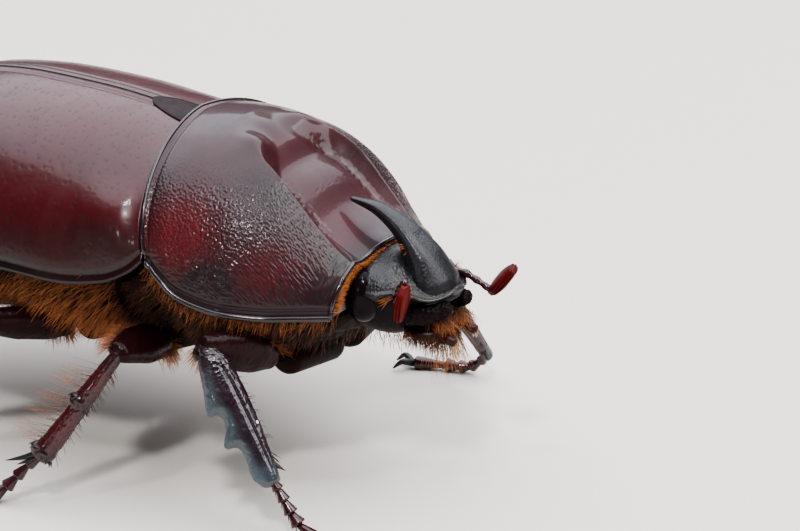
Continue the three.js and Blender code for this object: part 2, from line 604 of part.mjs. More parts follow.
const trunkClear = [prosternumSolid(GAP), mesosternumSolid(GAP), metasternumSolid(GAP), abdomenSolid(GAP)];
for (const [name, leg] of Object.entries(LEGS)) {
  add(`coxa_${name}`, cut(coxaSolid(leg), ...trunkClear), LEG_RED);
  add(`femur_${name}`, cut(femurSolid(leg), ...trunkClear, coxaSolid(leg, GAP)), LEG_RED);
  add(`tibia_${name}`, cut(shinSolid(leg), femurSolid(leg, GAP)), LEG_RED);
  add(`tarsus_${name}`, aboveFloor(cut(tarsusSolid(leg), shinSolid(leg, GAP))), LEG_RED);
  add(`claws_${name}`, aboveFloor(cut(clawSolid(leg), tarsusSolid(leg, GAP))), BLACK_HORN);
}

// The origin is on the floor, under the middle of the whole model.
const box = new THREE.Box3().setFromObject(beetle);
beetle.position.set(-(box.min.x + box.max.x) / 2, -(box.min.y + box.max.y) / 2, 0);

export default beetle;
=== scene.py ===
# %% [markdown]
# # A rhinoceros beetle
#
# A male beetle stands on its six feet. A shield, the pronotum, covers the front of the body, with a
# smooth hollow behind the horn. Two wing cases cover the rest. The body parts come from a imported frame,
# and here each one gets its fine surface: pits, wrinkles, rims, teeth, spines and rust-coloured hair.
#
# The plain parts could be sculpted in place, but here each fine piece is a new mesh that stands for a
# plain one. The frame is loaded first, and its box is kept, because nothing may grow out of it. All
# shapes are drawn in millimetres round the body's own middle, with X to the beetle's left, Y to its rear
# and Z up.

# %% Load the frame
import math

import bpy
import numpy as np
from mathutils import Matrix, Vector


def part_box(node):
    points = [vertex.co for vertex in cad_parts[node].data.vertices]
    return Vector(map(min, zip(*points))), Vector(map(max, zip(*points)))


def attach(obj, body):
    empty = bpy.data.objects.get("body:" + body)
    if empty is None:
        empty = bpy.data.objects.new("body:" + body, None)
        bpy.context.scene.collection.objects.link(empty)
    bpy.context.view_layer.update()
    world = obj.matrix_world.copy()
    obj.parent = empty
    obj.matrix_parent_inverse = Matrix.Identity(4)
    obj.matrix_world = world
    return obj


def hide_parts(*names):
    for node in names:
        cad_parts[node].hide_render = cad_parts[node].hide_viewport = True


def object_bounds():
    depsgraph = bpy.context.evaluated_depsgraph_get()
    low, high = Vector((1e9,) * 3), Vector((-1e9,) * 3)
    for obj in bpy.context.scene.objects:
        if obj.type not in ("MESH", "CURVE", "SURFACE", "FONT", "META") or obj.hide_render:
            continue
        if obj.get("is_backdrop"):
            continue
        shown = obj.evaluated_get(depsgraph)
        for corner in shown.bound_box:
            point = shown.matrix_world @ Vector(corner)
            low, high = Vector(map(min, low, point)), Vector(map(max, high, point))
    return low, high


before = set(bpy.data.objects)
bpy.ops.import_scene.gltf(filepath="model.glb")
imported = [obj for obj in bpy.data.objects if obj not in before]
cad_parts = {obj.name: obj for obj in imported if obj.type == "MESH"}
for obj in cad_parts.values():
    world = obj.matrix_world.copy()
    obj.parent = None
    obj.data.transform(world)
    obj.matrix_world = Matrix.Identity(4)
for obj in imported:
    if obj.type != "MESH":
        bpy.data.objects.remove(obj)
CAD_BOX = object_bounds()
MM = 0.001
HEAD_FRONT = -17.6  # mm, the foremost point of the head in the body's own coordinates
right_case, left_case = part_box("elytron_right"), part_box("elytron_left")
ORIGIN = np.array([(right_case[0].x + left_case[1].x) / 2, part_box("head")[0].y - HEAD_FRONT * MM, 0])
print("plain parts:", len(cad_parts), "body origin in the frame, mm:", np.round(ORIGIN / MM, 3))

# %% [markdown]
# ## Camera, floor and light
#
# The camera looks at the beetle's right cheek from slightly above, with a long lens, so that the near
# legs and the far feeler keep their true sizes. It could be moved by hand and its matrix copied here, but
# a target point on the neck, two angles and a distance can be read and changed. The camera is then
# turned a little, so that the shield sits left of the middle.

# %% Camera
PICTURE = (800, 531)  # pixels
TARGET = Vector((0, -9, 12)) * MM + Vector(ORIGIN)
AZIMUTH, ELEVATION, ROLL = math.radians(-56), math.radians(20.8), math.radians(-1.6)
DISTANCE = 180 * MM
FOCAL_PIXELS = 3396
TARGET_PIXEL = (320, 246)  # where the target lies in the picture
SENSOR = 36  # mm
CLIP = (0.01, 20)  # m


def camera_matrix():
    """The camera's place and turn, as a matrix. back points from the target to the camera."""
    back = Vector((math.sin(AZIMUTH) * math.cos(ELEVATION), -math.cos(AZIMUTH) * math.cos(ELEVATION),
                   math.sin(ELEVATION)))
    level = Vector((math.cos(AZIMUTH), math.sin(AZIMUTH), 0))
    upright = back.cross(level)
    right = level * math.cos(ROLL) + upright * math.sin(ROLL)
    up = upright * math.cos(ROLL) - level * math.sin(ROLL)
    eye = TARGET + back * DISTANCE
    aside = (PICTURE[0] / 2 - TARGET_PIXEL[0]) / FOCAL_PIXELS
    below = (PICTURE[1] / 2 - TARGET_PIXEL[1]) / FOCAL_PIXELS
    turned = -(right * aside - up * below - back).normalized()
    right = (right - turned * right.dot(turned)).normalized()
    matrix = Matrix((right, turned.cross(right), turned)).transposed().to_4x4()
    matrix.translation = eye
    return matrix


camera = bpy.data.objects.new("camera", bpy.data.cameras.new("camera"))
bpy.context.scene.collection.objects.link(camera)
camera.matrix_world = camera_matrix()
camera.data.sensor_width = SENSOR
camera.data.lens = FOCAL_PIXELS / PICTURE[0] * SENSOR
camera.data.clip_start, camera.data.clip_end = CLIP
bpy.context.scene.camera = camera
print("lens, mm:", round(camera.data.lens, 1))

# %% [markdown]
# The floor is one pale disc, warm and not quite white, so that it doesn't fog the dark shell from below.
# A curved backdrop would hide the floor's edge, but a disc far wider than the beetle does the same from
# above. The world is a dim cool sky, because a bright one would lie over the whole shell as a grey veil.

# %% Floor and sky
FLOOR_RADIUS = 3.0  # m
FLOOR_COLOUR, FLOOR_ROUGHNESS = (0.62, 0.575, 0.52, 1), 0.85
SKY_COLOUR, SKY_STRENGTH = (0.80, 0.88, 1.0, 1), 0.12


def new_material(name):
    material = bpy.data.materials.new(name)
    material.use_nodes = True
    return material, material.node_tree.nodes, material.node_tree.links


floor_material, nodes, links = new_material("pale floor")
floor_shader = nodes["Principled BSDF"]
floor_shader.inputs["Base Color"].default_value = FLOOR_COLOUR
floor_shader.inputs["Roughness"].default_value = FLOOR_ROUGHNESS
bpy.ops.mesh.primitive_circle_add(vertices=96, radius=FLOOR_RADIUS, fill_type="NGON")
floor = bpy.context.object
floor.name = "floor"
floor.data.materials.append(floor_material)
floor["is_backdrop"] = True

world = bpy.data.worlds.new("sky")
world.use_nodes = True
sky = world.node_tree.nodes["Background"]
sky.inputs["Color"].default_value, sky.inputs["Strength"].default_value = SKY_COLOUR, SKY_STRENGTH
bpy.context.scene.world = world
bpy.context.scene.view_settings.look = "AgX - Medium High Contrast"
print("floor radius, m:", FLOOR_RADIUS, "sky strength:", SKY_STRENGTH)

# %% [markdown]
# A glossy dark shell shows little colour of its own. What shows is a mirror picture of the lamps, so each
# lamp is placed where the shell should shine. A very wide soft box hangs over the far side of the beetle,
# as a bright sky behind it would, and a smaller one stands in front of the horn. The near side faces the
# dark, so its red stays deep. Three small panels give the sharp highlights that show a hard polish. Each
# lamp is aimed by the direction from the shield to it, which is simpler than turning it by hand.

# %% Lamps
# name, direction from the shield to the lamp, distance (m), side (m), brightness of its face, colour
LAMPS = [
    ("sky box", (0.35, 0.22, 0.88), 0.50, 0.85, 3.8, (0.90, 0.93, 1.0)),
    ("front box", (0.15, -0.66, 0.70), 0.55, 0.40, 6.5, (0.96, 0.98, 1.0)),
    ("side panel", (-0.55, -0.24, 0.80), 0.45, 0.045, 190.0, (0.97, 0.98, 1.0)),
    ("top panel", (-0.35, -0.02, 0.94), 0.45, 0.03, 120.0, (0.97, 0.98, 1.0)),
    ("low panel", (-0.95, 0.14, 0.28), 0.45, 0.03, 35.0, (0.95, 0.98, 1.0)),
]
for name, direction, distance, side, face, colour in LAMPS:
    lamp = bpy.data.lights.new(name, "AREA")
    lamp.size = side
    lamp.energy = face * math.pi * side * side
    lamp.color = colour
    holder = bpy.data.objects.new(name, lamp)
    towards = Vector(direction).normalized()
    holder.location = TARGET + towards * distance
    holder.rotation_euler = towards.to_track_quat("Z", "Y").to_euler()
    bpy.context.scene.collection.objects.link(holder)
print("lamps:", [lamp[0] for lamp in LAMPS])

# %% [markdown]
# ## Shared finishes
#
# Beetle shell is chitin: hard, dark and glossy, with red light glowing through where it is thin. Five
# effects come back on many parts: a tone that drifts between two colours, fine pores, dust that lodges in
# pits, pale specks of sand, and a gloss that is worn unevenly. Each could be drawn again in every
# material, but as a node group it is made once, and each material only gives it other numbers. The first
# cells have the helpers that lay the nodes out.

# %% Node group helpers
def node_group(name, inputs, outputs):
    group = bpy.data.node_groups.new(name, "ShaderNodeTree")
    for label, kind, value in inputs:
        socket = group.interface.new_socket(label, in_out="INPUT", socket_type=kind)
        socket.default_value = value
    for label, kind in outputs:
        group.interface.new_socket(label, in_out="OUTPUT", socket_type=kind)
    return group, group.nodes.new("NodeGroupInput"), group.nodes.new("NodeGroupOutput")


def math_node(tree, operation, a, b=None, c=None, clamp=False):
    """A Math node. Each of a, b and c is a socket or a number. Returns its output."""
    node = tree.nodes.new("ShaderNodeMath")
    node.operation = operation
    node.use_clamp = clamp
    for socket, value in zip(node.inputs, (a, b, c)):
        if isinstance(value, bpy.types.NodeSocket):
            tree.links.new(value, socket)
        elif value is not None:
            socket.default_value = value
    return node.outputs[0]


def blend_colours(tree, share, first, second):
    node = tree.nodes.new("ShaderNodeMix")
    node.data_type = "RGBA"
    for socket, value in ((node.inputs[0], share), (node.inputs[6], first), (node.inputs[7], second)):
        if isinstance(value, bpy.types.NodeSocket):
            tree.links.new(value, socket)
        else:
            socket.default_value = value
    return node.outputs[2]


FLOAT, COLOUR = "NodeSocketFloat", "NodeSocketColor"
print("a group passes:", FLOAT, COLOUR)

# %% Texture helper
def texture(tree, kind, scale, **settings):
    """A texture node over the object's own coordinates, in metres."""
    place = tree.nodes.new("ShaderNodeTexCoord")
    node = tree.nodes.new(kind)
    for key, value in settings.items():
        if key in node.inputs:
            node.inputs[key].default_value = value
        else:
            setattr(node, key, value)
    tree.links.new(place.outputs["Object"], node.inputs["Vector"])
    if isinstance(scale, bpy.types.NodeSocket):
        tree.links.new(scale, node.inputs["Scale"])
    else:
        node.inputs["Scale"].default_value = scale
    return node


print("1 mm in a texture:", MM)

# %% [markdown]
# The tone is a soft cloud that pushes the share of the second colour up and down, so that no shell is one
# flat colour. The pores are the middles of round cells, cut off at their reach, and they only feed bump.

# %% Tone and pores
tone, given, made = node_group(
    "drifting tone", [("First", COLOUR, (0, 0, 0, 1)), ("Second", COLOUR, (1, 1, 1, 1)),
                      ("Scale", FLOAT, 300), ("Share", FLOAT, 0.5), ("Drift", FLOAT, 0.3)],
    [("Color", COLOUR)])
cloud = texture(tone, "ShaderNodeTexNoise", given.outputs["Scale"], Detail=4.0)
centred = math_node(tone, "SUBTRACT", cloud.outputs["Fac"], 0.5)
share = math_node(tone, "MULTIPLY_ADD", centred, given.outputs["Drift"], given.outputs["Share"], clamp=True)
mixed = blend_colours(tone, share, given.outputs["First"], given.outputs["Second"])
tone.links.new(mixed, made.inputs["Color"])

PORE_RIM = 0.4  # how softly a pore's edge is rounded
pores, given, made = node_group(
    "fine pores", [("Scale", FLOAT, 5000), ("Reach", FLOAT, 0.35)], [("Height", FLOAT)])
cell = texture(pores, "ShaderNodeTexVoronoi", given.outputs["Scale"], Randomness=1.0)
near = math_node(pores, "DIVIDE", cell.outputs["Distance"], given.outputs["Reach"], clamp=True)
pores.links.new(math_node(pores, "SMOOTH_MIN", near, 1.0, PORE_RIM), made.inputs["Height"])
print("node groups:", [group.name for group in bpy.data.node_groups])

# %% [markdown]
# Dust lies where three things agree: a pit, a wide patch and a fine grain. They are added up, and what
# stands above a level is dust. Specks are rare grains of sand, so only a few cells of a cell pattern,
# picked by their own random colour, get one. Gloss wears unevenly: a cloud is stretched to the range of
# roughness that the material gives.

# %% Dust, specks and wear
DUST_IN_PITS, DUST_IN_PATCHES, DUST_LEVEL, DUST_EDGE = 0.55, 0.5, 1.35, 6.0
dust, given, made = node_group(
    "lodged dust", [("Amount", FLOAT, 0.3), ("Grain", FLOAT, 4000), ("Hollow", FLOAT, 0.0)],
    [("Mask", FLOAT)])
patch = texture(dust, "ShaderNodeTexNoise", 700, Detail=3.0)
grain = texture(dust, "ShaderNodeTexNoise", given.outputs["Grain"], Detail=2.0, Roughness=0.7)
lodged = math_node(dust, "MULTIPLY_ADD", given.outputs["Hollow"], DUST_IN_PITS, grain.outputs["Fac"])
shaped = math_node(dust, "MULTIPLY_ADD", patch.outputs["Fac"], DUST_IN_PATCHES, lodged)
level = math_node(dust, "SUBTRACT", DUST_LEVEL, given.outputs["Amount"])
above = math_node(dust, "SUBTRACT", shaped, level)
dust.links.new(math_node(dust, "MULTIPLY", above, DUST_EDGE, clamp=True), made.inputs["Mask"])

SPECK_SIZE, SPECK_VARIETY = 0.05, 0.14  # shares of a cell
specks, given, made = node_group(
    "pale specks", [("Scale", FLOAT, 1500), ("Amount", FLOAT, 0.06)], [("Mask", FLOAT)])
cell = texture(specks, "ShaderNodeTexVoronoi", given.outputs["Scale"], Randomness=1.0)
chosen = specks.nodes.new("ShaderNodeSeparateColor")
specks.links.new(cell.outputs["Color"], chosen.inputs[0])
rare = math_node(specks, "LESS_THAN", chosen.outputs[0], given.outputs["Amount"])
size = math_node(specks, "MULTIPLY_ADD", chosen.outputs[1], SPECK_VARIETY, SPECK_SIZE)
inside = math_node(specks, "LESS_THAN", cell.outputs["Distance"], size)
specks.links.new(math_node(specks, "MULTIPLY", rare, inside), made.inputs["Mask"])

wear, given, made = node_group(
    "uneven gloss", [("Low", FLOAT, 0.2), ("High", FLOAT, 0.4), ("Scale", FLOAT, 900)],
    [("Roughness", FLOAT)])
cloud = texture(wear, "ShaderNodeTexNoise", given.outputs["Scale"], Detail=5.0, Roughness=0.6)
stretch = wear.nodes.new("ShaderNodeMapRange")
CLOUD_RANGE = (0.35, 0.65)  # where most of a cloud's values lie
stretch.inputs["From Min"].default_value, stretch.inputs["From Max"].default_value = CLOUD_RANGE
wear.links.new(cloud.outputs["Fac"], stretch.inputs["Value"])
wear.links.new(given.outputs["Low"], stretch.inputs["To Min"])
wear.links.new(given.outputs["High"], stretch.inputs["To Max"])
wear.links.new(stretch.outputs["Result"], made.inputs["Roughness"])
print("node groups:", [group.name for group in bpy.data.node_groups])

# %% [markdown]
# Every shell material is the same recipe with its own numbers. Colour and shape have to agree: a pit is
# darker, as painted shade, and duller than the shell round it, and red shows where the shell is thin. A
# second noise could only guess where the pits are, so two numbers ride on each mesh point instead.
# "glow" says how much of the second colour shows there, in some places as painted light, and "relief"
# says how deep in a pit it lies, with less than 0 for a polished place. They are worked out together
# with the shape.

# %% Material helpers
def place_group(material, group, **values):
    node = material.node_tree.nodes.new("ShaderNodeGroup")
    node.node_tree = group
    for label, value in values.items():
        if isinstance(value, bpy.types.NodeSocket):
            material.node_tree.links.new(value, node.inputs[label])
        else:
            node.inputs[label].default_value = value
    return node


def rgb(r, g, b):
    return (r, g, b, 1)


def attribute(material, name):
    node = material.node_tree.nodes.new("ShaderNodeAttribute")
    node.attribute_name = name
    return node.outputs["Fac"]


print("a colour for a socket:", rgb(0.1, 0.2, 0.3))

# %% The chitin recipe
SHELL_IOR = 1.46
# painted shade in pits: how much darker a pit gets, the darker copy of the first colour it goes to, and how
# much rougher it is
PIT_SHADE, PIT_SHADE_COLOUR, PIT_ROUGHNESS = 0.7, 0.35, 0.2
DUST_ROUGHNESS = 0.4
SPECK_COLOUR = (0.75, 0.68, 0.5, 1)
PORE_DEPTH = 0.02 * MM


def chitin(name, dark, red, gloss, coat=0.0, coat_roughness=0.12, pore=(6000, 0.4, 0.15), dusty=None,
           specky=0.0, share=0.5, drift=0.8, tone_scale=260, specular=0.5):
    """Dark shell with a second colour showing through. gloss is (low, high) roughness, pore is (scale,
    reach, strength) and dusty is (amount, grain, colour), with no dust where glow is 1."""
    material, nodes, links = new_material(name)
    tree = material.node_tree
    shader = nodes["Principled BSDF"]
    glow, relief = attribute(material, "glow"), attribute(material, "relief")
    mixed = math_node(tree, "ADD", glow, share, clamp=True)
    colour = place_group(material, tone, First=rgb(*dark), Second=rgb(*red), Scale=tone_scale, Share=mixed,
                         Drift=drift).outputs["Color"]
    # painted shade: deeper in a pit, the colour goes towards a darker copy of the first colour
    shade = math_node(tree, "MULTIPLY", relief, PIT_SHADE, clamp=True)
    colour = blend_colours(tree, shade, colour, rgb(*(PIT_SHADE_COLOUR * v for v in dark)))
    roughness = place_group(material, wear, Low=gloss[0], High=gloss[1]).outputs["Roughness"]
    roughness = math_node(tree, "MULTIPLY_ADD", relief, PIT_ROUGHNESS, roughness, clamp=True)
    if dusty:
        amount, grain_scale, dust_colour = dusty
        mask = place_group(material, dust, Amount=amount, Grain=grain_scale, Hollow=relief).outputs["Mask"]
        mask = math_node(tree, "MULTIPLY", mask, math_node(tree, "SUBTRACT", 1.0, glow, clamp=True))
        colour = blend_colours(tree, mask, colour, rgb(*dust_colour))
        roughness = math_node(tree, "MULTIPLY_ADD", mask, DUST_ROUGHNESS, roughness, clamp=True)
    if specky:
        mask = place_group(material, specks, Amount=specky).outputs["Mask"]
        colour = blend_colours(tree, mask, colour, SPECK_COLOUR)
    links.new(colour, shader.inputs["Base Color"])
    links.new(roughness, shader.inputs["Roughness"])
    scale, reach, strength = pore
    bump = nodes.new("ShaderNodeBump")
    bump.inputs["Strength"].default_value, bump.inputs["Distance"].default_value = strength, PORE_DEPTH
    links.new(place_group(material, pores, Scale=scale, Reach=reach).outputs["Height"], bump.inputs["Height"])
    links.new(bump.outputs["Normal"], shader.inputs["Normal"])
    shader.inputs["Coat Weight"].default_value = coat
    shader.inputs["Coat Roughness"].default_value = coat_roughness
    shader.inputs["IOR"].default_value = SHELL_IOR
    shader.inputs["Specular IOR Level"].default_value = specular
    return material


print("bump of a pore, mm:", PORE_DEPTH / MM)

# %% [markdown]
# The big shells are dark red-brown under a thin clear coat. Their base is fairly rough, because a smooth
# one would mirror the hard edges of the lamps. The coat's own small highlight then says that they are
# polished. The head and the horn are black, matt in the pits and dusty, the legs are glossy like wet
# wood, and what lies in the shade underneath hardly shines at all. The cheeks and the thighs get darker
# copies of the black and leg shells, as painted shade. The spade shins turn blue-grey towards their
# outer edge and tip, where glow is 1, as a painted sky reflection.

# %% Shell materials
WING_CASE = chitin("wing case", (0.006, 0.0015, 0.002), (0.062, 0.003, 0.005), (0.32, 0.40), coat=0.2,
                   coat_roughness=0.1, pore=(3000, 0.3, 0.12), share=0.1, drift=0.5, tone_scale=180,
                   specular=0.42)
SHIELD = chitin("pronotum shell", (0.006, 0.002, 0.0035), (0.085, 0.003, 0.006), (0.40, 0.50), coat=0.36,
                coat_roughness=0.1, pore=(9000, 0.4, 0.2), specky=0.012, share=0.08, drift=0.35,
                specular=0.3)
BLACK = chitin("black shell", (0.008, 0.008, 0.009), (0.015, 0.013, 0.016), (0.3, 0.45), coat=0.05,
               coat_roughness=0.2, pore=(8000, 0.45, 0.5), dusty=(0.22, 7500, (0.10, 0.10, 0.075)),
               specky=0.02, specular=0.42)
JAW = chitin("jaw shell", (0.006, 0.004, 0.005), (0.018, 0.006, 0.006), (0.3, 0.45),
             pore=(6000, 0.45, 0.5), specky=0.01, specular=0.1)
# a darker copy of the black shell for the faces below the brim, as painted shade
SHADED_CHEEK = chitin("shaded cheek shell", (0.005, 0.003, 0.004), (0.008, 0.004, 0.005), (0.35, 0.5),
               pore=(8000, 0.45, 0.5), specky=0.01, specular=0.1)
RIM = chitin("black rim", (0.008, 0.006, 0.007), (0.02, 0.010, 0.010), (0.18, 0.28), coat=0.4,
             pore=(7000, 0.4, 0.1))
LEG = chitin("leg shell", (0.009, 0.005, 0.006), (0.06, 0.006, 0.008), (0.18, 0.3), coat=0.3,
             coat_roughness=0.1, pore=(4200, 0.42, 0.35), specky=0.01, share=0.2, drift=0.4)
# its second colour is a pale blue-grey painted sky reflection on the outer edge and tip
SHEENED_SPADE_SHELL = chitin("spade shell with painted sheen", (0.016, 0.005, 0.010), (0.050, 0.070, 0.080), (0.2, 0.34), coat=0.35,
                     coat_roughness=0.1, pore=(4200, 0.42, 0.35), specky=0.03, share=0.0, drift=0.4)
# a darker copy of the leg shell for the thighs, as painted shade
SHADED_THIGH = chitin("shaded thigh shell", (0.006, 0.003, 0.003), (0.026, 0.004, 0.005), (0.28, 0.38), coat=0.08,
               pore=(4200, 0.42, 0.35), share=0.2, drift=0.4, specular=0.12)
CLUB = chitin("feeler club", (0.014, 0.002, 0.003), (0.14, 0.005, 0.003), (0.35, 0.48),
              pore=(9000, 0.5, 0.4), share=0.2, drift=0.3, specular=0.15)
BELLY = chitin("belly shell", (0.006, 0.003, 0.0025), (0.022, 0.007, 0.004), (0.4, 0.55),
               pore=(5000, 0.45, 0.5), dusty=(0.08, 3000, (0.05, 0.03, 0.015)), share=0.3, specular=0.08)
MOUTH = chitin("mouth shell", (0.012, 0.004, 0.003), (0.05, 0.008, 0.004), (0.3, 0.45),
               pore=(6000, 0.4, 0.3), share=0.4, specular=0.3)
EYE = chitin("eye", (0.004, 0.0025, 0.004), (0.010, 0.004, 0.007), (0.13, 0.18), pore=(16000, 0.6, 0.1),
             specular=0.12)
print("shell materials:", len(bpy.data.materials) - 1)

# %% [markdown]
# Each hair is see-through amber on a real beetle: dark at the root, where it stands in shadow, and bright
# at the tip. A hair shader would need hair curves, and these hairs are mesh, so a blend from root colour
# to tip colour stands in for it. The share of the way to the tip rides on the mesh as "along".

# %% Hair materials
HAIR_IOR = 1.5
HAIR_SHADE = 0.75  # how dark the darkest tips are


def hair_material(name, root, tip, roughness):
    """Hair that runs from the root's colour to the tip's, with some hairs darker than others."""
    material, nodes, links = new_material(name)
    shader = nodes["Principled BSDF"]
    tree = material.node_tree
    shifted = place_group(material, tone, First=rgb(*(HAIR_SHADE * v for v in tip)), Second=rgb(*tip),
                          Scale=900, Share=0.6, Drift=1.2).outputs["Color"]
    colour = blend_colours(tree, attribute(material, "along"), rgb(*root), shifted)
    links.new(colour, shader.inputs["Base Color"])
    shader.inputs["Roughness"].default_value = roughness
    shader.inputs["IOR"].default_value = HAIR_IOR
    return material


RUST_HAIR = hair_material("rust hair", (0.07, 0.018, 0.006), (0.75, 0.25, 0.06), 0.4)
# a darker brown copy of the rust hair, as painted shade under the shield and the head
SHADED_HAIR = hair_material("shaded brown hair", (0.015, 0.005, 0.003), (0.22, 0.07, 0.02), 0.5)
DARK_BRISTLE = hair_material("dark bristle", (0.03, 0.010, 0.006), (0.16, 0.05, 0.02), 0.35)
PALE_TUFT = hair_material("pale tuft", (0.35, 0.16, 0.05), (0.85, 0.72, 0.5), 0.3)
print("all materials:", len(bpy.data.materials))

# %% [markdown]
# ## From tracks to surfaces
#
# A beetle's shell is drawn here the way a boat builder draws a hull. A track is a short list of places
# and sizes with a smooth curve through it, and a loft is a skin over many sections that follow the
# tracks. Sculpting or subdividing a rough cage would also give round forms, but tracks keep every size
# exact, and the sizes below are those of the frame's own parts. So each fine surface lies where its
# plain part does.

# %% Tracks
HALF_PI = math.pi / 2


def track(pairs):
    """A smooth curve through [place, value] pairs that is level at local peaks, as a function."""
    places, values = np.array(sorted(pairs), float).T
    slope = np.diff(values) / np.diff(places)
    before, after = slope[:-1], slope[1:]
    peak = before * after <= 0
    middle = np.where(peak, 0, 2 * before * after / np.where(peak, 1, before + after))
    tangent = np.concatenate([slope[:1], middle, slope[-1:]])

    def curve(place):
        place = np.clip(place, places[0], places[-1])
        i = np.clip(np.searchsorted(places, place) - 1, 0, len(places) - 2)
        span = places[i + 1] - places[i]
        t = (place - places[i]) / span
        t2, t3 = t * t, t * t * t
        return ((2 * t3 - 3 * t2 + 1) * values[i] + (t3 - 2 * t2 + t) * tangent[i] * span
                + (3 * t2 - 2 * t3) * values[i + 1] + (t3 - t2) * tangent[i + 1] * span)

    return curve


def even(values):
    """A track through numbers spaced evenly from 0 to 1."""
    return track([[i / (len(values) - 1), v] for i, v in enumerate(values)])


def step(low, high, x):
    """0 below low, 1 above high, and a smooth ramp between."""
    t = np.clip((x - low) / (high - low), 0, 1)
    return t * t * (3 - 2 * t)


def bell(x, middle, reach):
    """1 at the middle, and next to nothing two reaches away."""
    return np.exp(-((x - middle) / reach) ** 2)


print("a track from 0 up to 1 and back is, at a quarter:", float(even([0, 1, 0])(0.25)))

# %% [markdown]
# A grid is an array of points, with rows along the body and columns round it. Its normals say which way
# the fine relief is pushed, and its lengths say where on the shell each pit lies, in millimetres. Array
# sums do this for all points at once, which is far faster than a loop over a mesh.

# %% Grids
def unit(vectors):
    return vectors / np.maximum(np.linalg.norm(vectors, axis=-1, keepdims=True), 1e-9)


def normals_of(grid, closed=True):
    """Outward normals of a grid of points: rows along the body, columns round it."""
    along = np.gradient(grid, axis=0)
    around = (np.roll(grid, -1, 1) - np.roll(grid, 1, 1)) if closed else np.gradient(grid, axis=1)
    normal = unit(np.cross(around, along))
    outward = grid - grid.mean(axis=1, keepdims=True)
    return normal * (1 if (normal * outward).sum() > 0 else -1)


def lengths(grid, axis):
    """How far each point lies along its row or column, in mm, from the first point."""
    run = np.linalg.norm(np.diff(grid, axis=axis), axis=-1).cumsum(axis=axis)
    return np.insert(run, 0, 0, axis=axis)


def turns(columns):
    """Angles of the columns round a closed ring."""
    return np.linspace(0, 2 * math.pi, columns, endpoint=False)


print("columns of a ring of 4, in degrees:", np.degrees(turns(4)))

# %% [markdown]
# A loft turns grids into one closed mesh with a fan at each end. Ready-made skin and bridge tools make
# such meshes too, but here each point has to keep its row and column, so that "glow" and "relief" land
# on the right ones. Every piece rides on the body, and the plain parts that it stands for are hidden.

# %% Pieces
def mesh_piece(name, points, faces, material, slot, replaces=(), numbers=None):
    """One named mesh from points in mm, riding on the beetle's only body."""
    mesh = bpy.data.meshes.new(name)
    mesh.from_pydata((points * MM + ORIGIN).tolist(), [], faces)
    mesh.validate()
    mesh.shade_smooth()
    for label, values in (numbers or {}).items():
        layer = mesh.attributes.new(label, "FLOAT", "POINT")
        layer.data.foreach_set("value", np.asarray(values, np.float32).ravel())
    mesh.materials.append(material)
    piece = bpy.data.objects.new(name, mesh)
    bpy.context.scene.collection.objects.link(piece)
    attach(piece, "root")
    if replaces:
        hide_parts(*replaces)
    return piece


print("every piece rides on the body, root")

# %% Faces of a loft
def loft_faces(rows, columns):
    """Faces of a closed skin over rings of points, with a fan at each end."""
    row, column = np.meshgrid(np.arange(rows - 1), np.arange(columns), indexing="ij")
    a = (row * columns + column).ravel()
    b = (row * columns + (column + 1) % columns).ravel()
    quads = np.stack([a, b, b + columns, a + columns], 1).tolist()
    first, last = rows * columns, rows * columns + 1
    near = [[first, (k + 1) % columns, k] for k in range(columns)]
    base = (rows - 1) * columns
    far = [[last, base + k, base + (k + 1) % columns] for k in range(columns)]
    return quads + near + far


def ring_skin(grid):
    """Points and faces of a closed skin over a grid of rings, with its faces pointing out."""
    rows, columns = grid.shape[:2]
    points = np.concatenate([grid.reshape(-1, 3), grid[0].mean(0)[None], grid[-1].mean(0)[None]])
    faces = loft_faces(rows, columns)
    corners = (points - points.mean(0))[np.array([[*face[:3], face[-1]] for face in faces])]
    facing = np.cross(corners[:, 2] - corners[:, 0], corners[:, 3] - corners[:, 1])
    facing = np.where(np.abs(facing).max(1, keepdims=True) > 0, facing, np.cross(
        corners[:, 1] - corners[:, 0], corners[:, 2] - corners[:, 0]))
    volume = (corners.mean(1) * facing).sum()
    return points, ([face[::-1] for face in faces] if volume < 0 else faces)


print("faces of a loft of 3 rings of 4 points:", len(loft_faces(3, 4)))

# %% Lofts
def loft(name, grids, material, slot, replaces=(), glow=0.0, relief=0.0):
    """One piece over one grid of rings or several. glow and relief are numbers, or one for each point."""
    grids = grids if isinstance(grids, list) else [grids]
    points, faces, numbers, start = [], [], {"glow": [], "relief": []}, 0
    for grid in grids:
        own_points, own_faces = ring_skin(grid)
        points.append(own_points)
        faces += [[start + k for k in face] for face in own_faces]
        start += len(own_points)
        for label, value in (("glow", glow), ("relief", relief)):
            spread = np.broadcast_to(value, grid.shape[:2]).ravel()
            numbers[label].append(np.append(spread, [spread[0], spread[-1]]))
    numbers = {label: np.concatenate(values) for label, values in numbers.items()}
    return mesh_piece(name, np.concatenate(points), faces, material, slot, replaces, numbers)


print("numbers on each point: glow and relief")

# %% [markdown]
# Much of a beetle's shell is pricked with pits, and in places they run together into wrinkles. Bump could
# draw them, but up close they break the outline and the highlights, so they are real relief here. Space
# is cut into little squares, each with one random point, and the distance to the nearest point gives a
# round pit. Where the pattern is squeezed one way, round pits become long wrinkles. A fixed formula makes
# the random numbers, so each run gives the same beetle.

# %% Pits and wrinkles
def scatter(i, j, seed):
    """A number from 0 to 1 for each square of a grid, always the same."""
    mixed = np.sin(i * 127.1 + j * 311.7 + seed * 74.7) * 43758.5453
    return mixed - np.floor(mixed)


